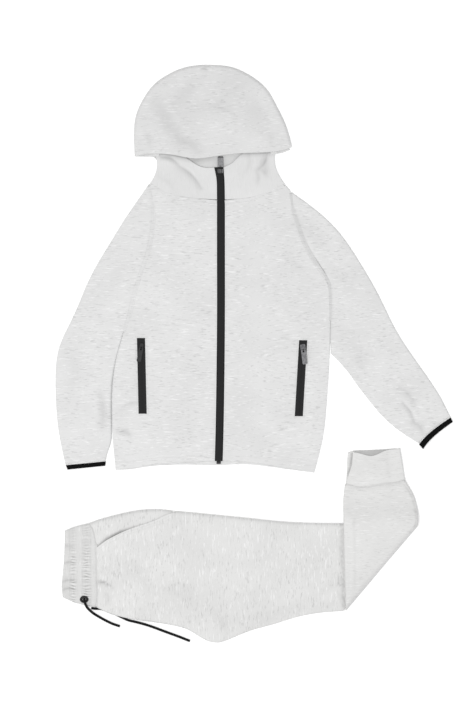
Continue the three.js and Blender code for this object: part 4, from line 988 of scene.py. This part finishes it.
def along_line(points, step, ends=False):
    """Points and directions along a run of plan points, a step apart, in millimetres."""
    run = np.array(points, float)
    spans = np.hypot(*np.diff(run, axis=0).T)
    length = np.concatenate([[0], np.cumsum(spans)])
    at = np.arange(step / 2, length[-1], step)
    if ends:
        at = np.linspace(0, length[-1], len(at) + 1)
    x = np.interp(at, length, run[:, 0])
    y = np.interp(at, length, run[:, 1])
    angle = np.arctan2(np.gradient(y), np.gradient(x))
    return list(zip(x, y, angle))


def drop_on(targets, x, y):
    """The height of the top of the first of the pieces below a point, in millimetres."""
    for target in targets:
        above = Vector((x * MM, y * MM, 0.1))
        hit, where, _, _ = bpy.data.objects[target].ray_cast(above, Vector((0, 0, -1)))
        if hit:
            return where.z / MM
    return None


def stitch_row(name, lines, targets):
    """Short raised stitches along lines of plan points."""
    pitch = settings().stitch_pitch / MM
    bm = bmesh.new()
    for line in lines:
        for x, y, angle in along_line(line, pitch):
            z = drop_on(targets, x, y)
            if z is None:
                continue
            made = bmesh.ops.create_icosphere(bm, subdivisions=1, radius=1)
            bmesh.ops.scale(bm, vec=(pitch * 0.42 * MM, 0.32 * MM, 0.22 * MM), verts=made["verts"])
            bmesh.ops.rotate(bm, matrix=Matrix.Rotation(angle, 3, "Z"), verts=made["verts"])
            bmesh.ops.translate(bm, vec=(x * MM, y * MM, (z + 0.05) * MM), verts=made["verts"])
    return new_piece(name, bm, "thread")


def seam_strip(name, targets, sink, tone, finish, points, half=3):
    """The turned-in cloth that fills the groove between two pieces sewn together."""
    cloth = [target + "_cloth" for target in targets]
    rows = []
    for x, y, angle in along_line(points, STRIP_STEP, True):
        way = (-math.sin(angle), math.cos(angle))
        feet = [(x + s * STRIP_FOOT * way[0], y + s * STRIP_FOOT * way[1]) for s in (-1, 1)]
        heights = [drop_on(cloth, *foot) for foot in feet]
        known = [z for z in heights if z is not None]
        rows.append([x, y, way, [known[0] if z is None else z for z in heights] if known else None])
    for order in (rows, rows[::-1]):
        for row, after in zip(order, order[1:]):
            after[3] = after[3] or row[3]
    bm = bmesh.new()
    rings = []
    for k, (x, y, way, _) in enumerate(rows):
        low, high = np.max([row[3] for row in rows[max(0, k - 2) : k + 3]], axis=0)
        ring = []
        for share, drop in STRIP_SECTION:
            off = (2 * share - 1) * half
            z = low + (high - low) * share - sink - drop
            ring.append(bm.verts.new(Vector((x + way[0] * off, y + way[1] * off, z)) * MM))
        rings.append(ring)
    for ring, after in zip(rings, rings[1:]):
        for k in range(len(ring)):
            bm.faces.new((ring[k], ring[k - 1], after[k - 1], after[k]))
    bm.faces.new(rings[0])
    bm.faces.new(list(reversed(rings[-1])))
    bmesh.ops.recalc_face_normals(bm, faces=bm.faces)
    obj = new_piece(name, bm, finish)
    # Painted shade on the strip, as in the tone of the cloth on both sides.
    shades = np.full(len(obj.data.vertices), tone)
    obj.data.attributes.new("tone", "FLOAT", "POINT").data.foreach_set("value", shades)
    return obj


def coil(name, line, tape, half=COIL_HALF_WIDTH):
    """The zip's two rows of coil, meeting at the middle."""
    bm = bmesh.new()
    for k, (x, y, angle) in enumerate(along_line(line, COIL_PITCH)):
        z = drop_on([tape], x, y)
        if z is None:
            continue
        side = 1 if k % 2 else -1
        made = bmesh.ops.create_cube(bm, size=1)
        verts = made["verts"]
        edges = list({e for v in verts for e in v.link_edges})
        bmesh.ops.scale(bm, vec=(COIL_PITCH * 0.72 * MM, half * MM * 1.15, COIL_THICKNESS * MM), verts=verts)
        bmesh.ops.translate(bm, vec=(0, side * half * 0.42 * MM, 0), verts=verts)
        result = bmesh.ops.bevel(
            bm, geom=edges, offset=COIL_BEVEL * MM, segments=1, profile=0.5, affect="EDGES", material=-1,
        )
        verts = list({v for f in result["faces"] for v in f.verts} | {v for v in verts if v.is_valid})
        bmesh.ops.rotate(bm, matrix=Matrix.Rotation(angle, 3, "Z"), verts=verts)
        bmesh.ops.translate(bm, vec=(x * MM, y * MM, (z + 0.18) * MM), verts=verts)
    return new_piece(name, bm, "coil")


# Operators

class TRACKSUIT_OT_camera(bpy.types.Operator):
    """Put the camera straight above the set, framed as the photo is"""

    bl_idname = "tracksuit.camera"
    bl_label = "Camera"

    def execute(self, context):
        data = bpy.data.cameras.new("overhead")
        camera = bpy.data.objects.new("overhead", data)
        context.collection.objects.link(camera)
        tall = PHOTO_HEIGHT * PIXEL * MM
        data.sensor_width = 36
        data.lens = data.sensor_width / 2 / (tall / 2 / (CAMERA_HEIGHT - CLOTH_HEIGHT))
        data.clip_start, data.clip_end = 0.1, 50
        camera.location = (*(place * PIXEL * MM for place in PHOTO_MIDDLE), CAMERA_HEIGHT)
        context.scene.camera = camera
        return {"FINISHED"}


class TRACKSUIT_OT_cords(bpy.types.Operator):
    """Lay the drawstring's two free ends"""

    bl_idname = "tracksuit.cords"
    bl_label = "Drawcords"

    def execute(self, context):
        for node, route in CORD_ROUTES.items():
            curve = bpy.data.curves.new(node + "_braid", "CURVE")
            curve.dimensions = "3D"
            curve.bevel_depth = CORD_DIAMETER / 2 * MM
            curve.bevel_resolution = 5
            curve.resolution_u = 6
            curve.use_fill_caps = True
            spline = curve.splines.new("BEZIER")
            spline.bezier_points.add(len(route) - 1)
            for point, place in zip(spline.bezier_points, route):
                point.co = Vector(place) * MM
                point.handle_left_type = point.handle_right_type = "AUTO"
            curve.materials.append(finish_of("cord"))
            obj = bpy.data.objects.new(node + "_braid", curve)
            context.collection.objects.link(obj)
            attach(obj, "suit")
            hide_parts(node)
        return {"FINISHED"}


def cloth_operator(group, label, doc):
    def execute(self, context):
        for row in CLOTH[group]:
            cloth_piece(row)
        return {"FINISHED"}

    return type(
        f"TRACKSUIT_OT_{group}",
        (bpy.types.Operator,),
        {"__doc__": doc, "bl_idname": f"tracksuit.{group}", "bl_label": label, "execute": execute},
    )


TRACKSUIT_OT_jacket = cloth_operator("jacket", "Jacket", "Dress the jacket's body and sleeves")
TRACKSUIT_OT_hood = cloth_operator("hood", "Hood", "Dress the hood and the neck")
TRACKSUIT_OT_trousers = cloth_operator("trousers", "Trousers", "Dress the folded trousers")
TRACKSUIT_OT_waistband = cloth_operator("waistband", "Waistband", "Dress the gathered waistband")
TRACKSUIT_OT_bindings = cloth_operator("bindings", "Cuff bindings", "Dress the black bindings")
TRACKSUIT_OT_zips = cloth_operator("zips", "Zip tapes", "Dress the three zip tapes")


class TRACKSUIT_OT_coils(bpy.types.Operator):
    """Add the zips' coils"""

    bl_idname = "tracksuit.coils"
    bl_label = "Zip coils"

    def execute(self, context):
        coil("main_zip_coil", ZIP_LINE, "main_zip_tape_cloth")
        for name, line in POCKET_LINES.items():
            coil(name, line, name.replace("coil", "tape_cloth"), POCKET_COIL_HALF_WIDTH)
        return {"FINISHED"}


class TRACKSUIT_OT_seams(bpy.types.Operator):
    """Join the pieces along their seams"""

    bl_idname = "tracksuit.seams"
    bl_label = "Seams"

    def execute(self, context):
        for seam in SEAMS:
            seam_strip(*seam)
        for name, targets, lines in STITCHES:
            stitch_row(name, lines, [target + "_cloth" for target in targets])
        return {"FINISHED"}


class TRACKSUIT_OT_metal(bpy.types.Operator):
    """Give the sliders, tabs, zip end and eyelet their metal"""

    bl_idname = "tracksuit.metal"
    bl_label = "Sliders, tabs and eyelet"

    def execute(self, context):
        for finish, nodes in METAL_PARTS.items():
            for node in nodes:
                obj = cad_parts[node]
                obj.data.materials.clear()
                obj.data.materials.append(finish_of(finish))
        return {"FINISHED"}


class TRACKSUIT_OT_stage(bpy.types.Operator):
    """Lay the white surface and light it softly"""

    bl_idname = "tracksuit.stage"
    bl_label = "Surface and light"

    def execute(self, context):
        bm = bmesh.new()
        bmesh.ops.create_grid(bm, x_segments=1, y_segments=1, size=SURFACE_SIZE)
        bmesh.ops.translate(bm, vec=(0, 0, -SURFACE_DROP), verts=bm.verts)
        mesh = bpy.data.meshes.new("surface")
        bm.to_mesh(mesh)
        bm.free()
        paint = Paint("surface_white")
        grain = paint.cloud((0.3, 0.3, 0.3))
        color = paint.mix(grain.ramp(0.3, 0.7), (0.93, 0.93, 0.93, 1), (0.94, 0.94, 0.94, 1))
        glow = {"Emission Color": (1, 1, 1, 1), "Emission Strength": 0.14}
        mesh.materials.append(paint.finish(color, 0.95, **glow))
        floor = bpy.data.objects.new("surface", mesh)
        context.collection.objects.link(floor)
        world = bpy.data.worlds.new("studio")
        context.scene.world = world
        world.use_nodes = True
        sky = world.node_tree.nodes["Background"]
        sky.inputs["Color"].default_value = (1, 1, 1, 1)
        sky.inputs["Strength"].default_value = settings().sky
        lamp = bpy.data.lights.new("softbox", "AREA")
        lamp.shape = "RECTANGLE"
        lamp.size, lamp.size_y = LAMP_SIZE
        lamp.energy = settings().light_power
        key = bpy.data.objects.new("softbox", lamp)
        context.collection.objects.link(key)
        key.location = LAMP_PLACE
        key.rotation_euler = (Vector((0, 0, 0)) - key.location).to_track_quat("-Z", "Y").to_euler()
        context.scene.view_settings.view_transform = "Standard"
        return {"FINISHED"}


class TRACKSUIT_PT_panel(bpy.types.Panel):
    bl_label = "Tracksuit"
    bl_idname = "TRACKSUIT_PT_panel"
    bl_space_type = "VIEW_3D"
    bl_region_type = "UI"
    bl_category = "Tracksuit"

    def draw(self, context):
        column = self.layout.column()
        for name in TracksuitSettings.__annotations__:
            column.prop(context.scene.tracksuit, name)
        for operator in OPERATORS:
            column.operator(operator.bl_idname)


OPERATORS = [
    TRACKSUIT_OT_camera, TRACKSUIT_OT_cords, TRACKSUIT_OT_jacket, TRACKSUIT_OT_hood,
    TRACKSUIT_OT_trousers, TRACKSUIT_OT_waistband, TRACKSUIT_OT_bindings, TRACKSUIT_OT_zips,
    TRACKSUIT_OT_coils, TRACKSUIT_OT_seams, TRACKSUIT_OT_metal, TRACKSUIT_OT_stage,
]
CLASSES = [TracksuitSettings, *OPERATORS, TRACKSUIT_PT_panel]


def register():
    for cls in CLASSES:
        bpy.utils.register_class(cls)
    bpy.types.Scene.tracksuit = PointerProperty(type=TracksuitSettings)


def unregister():
    del bpy.types.Scene.tracksuit
    for cls in reversed(CLASSES):
        bpy.utils.unregister_class(cls)


def main():
    register()
    for operator in OPERATORS:
        group, name = operator.bl_idname.split(".")
        getattr(getattr(bpy.ops, group), name)()


if __name__ == "__main__":
    main()
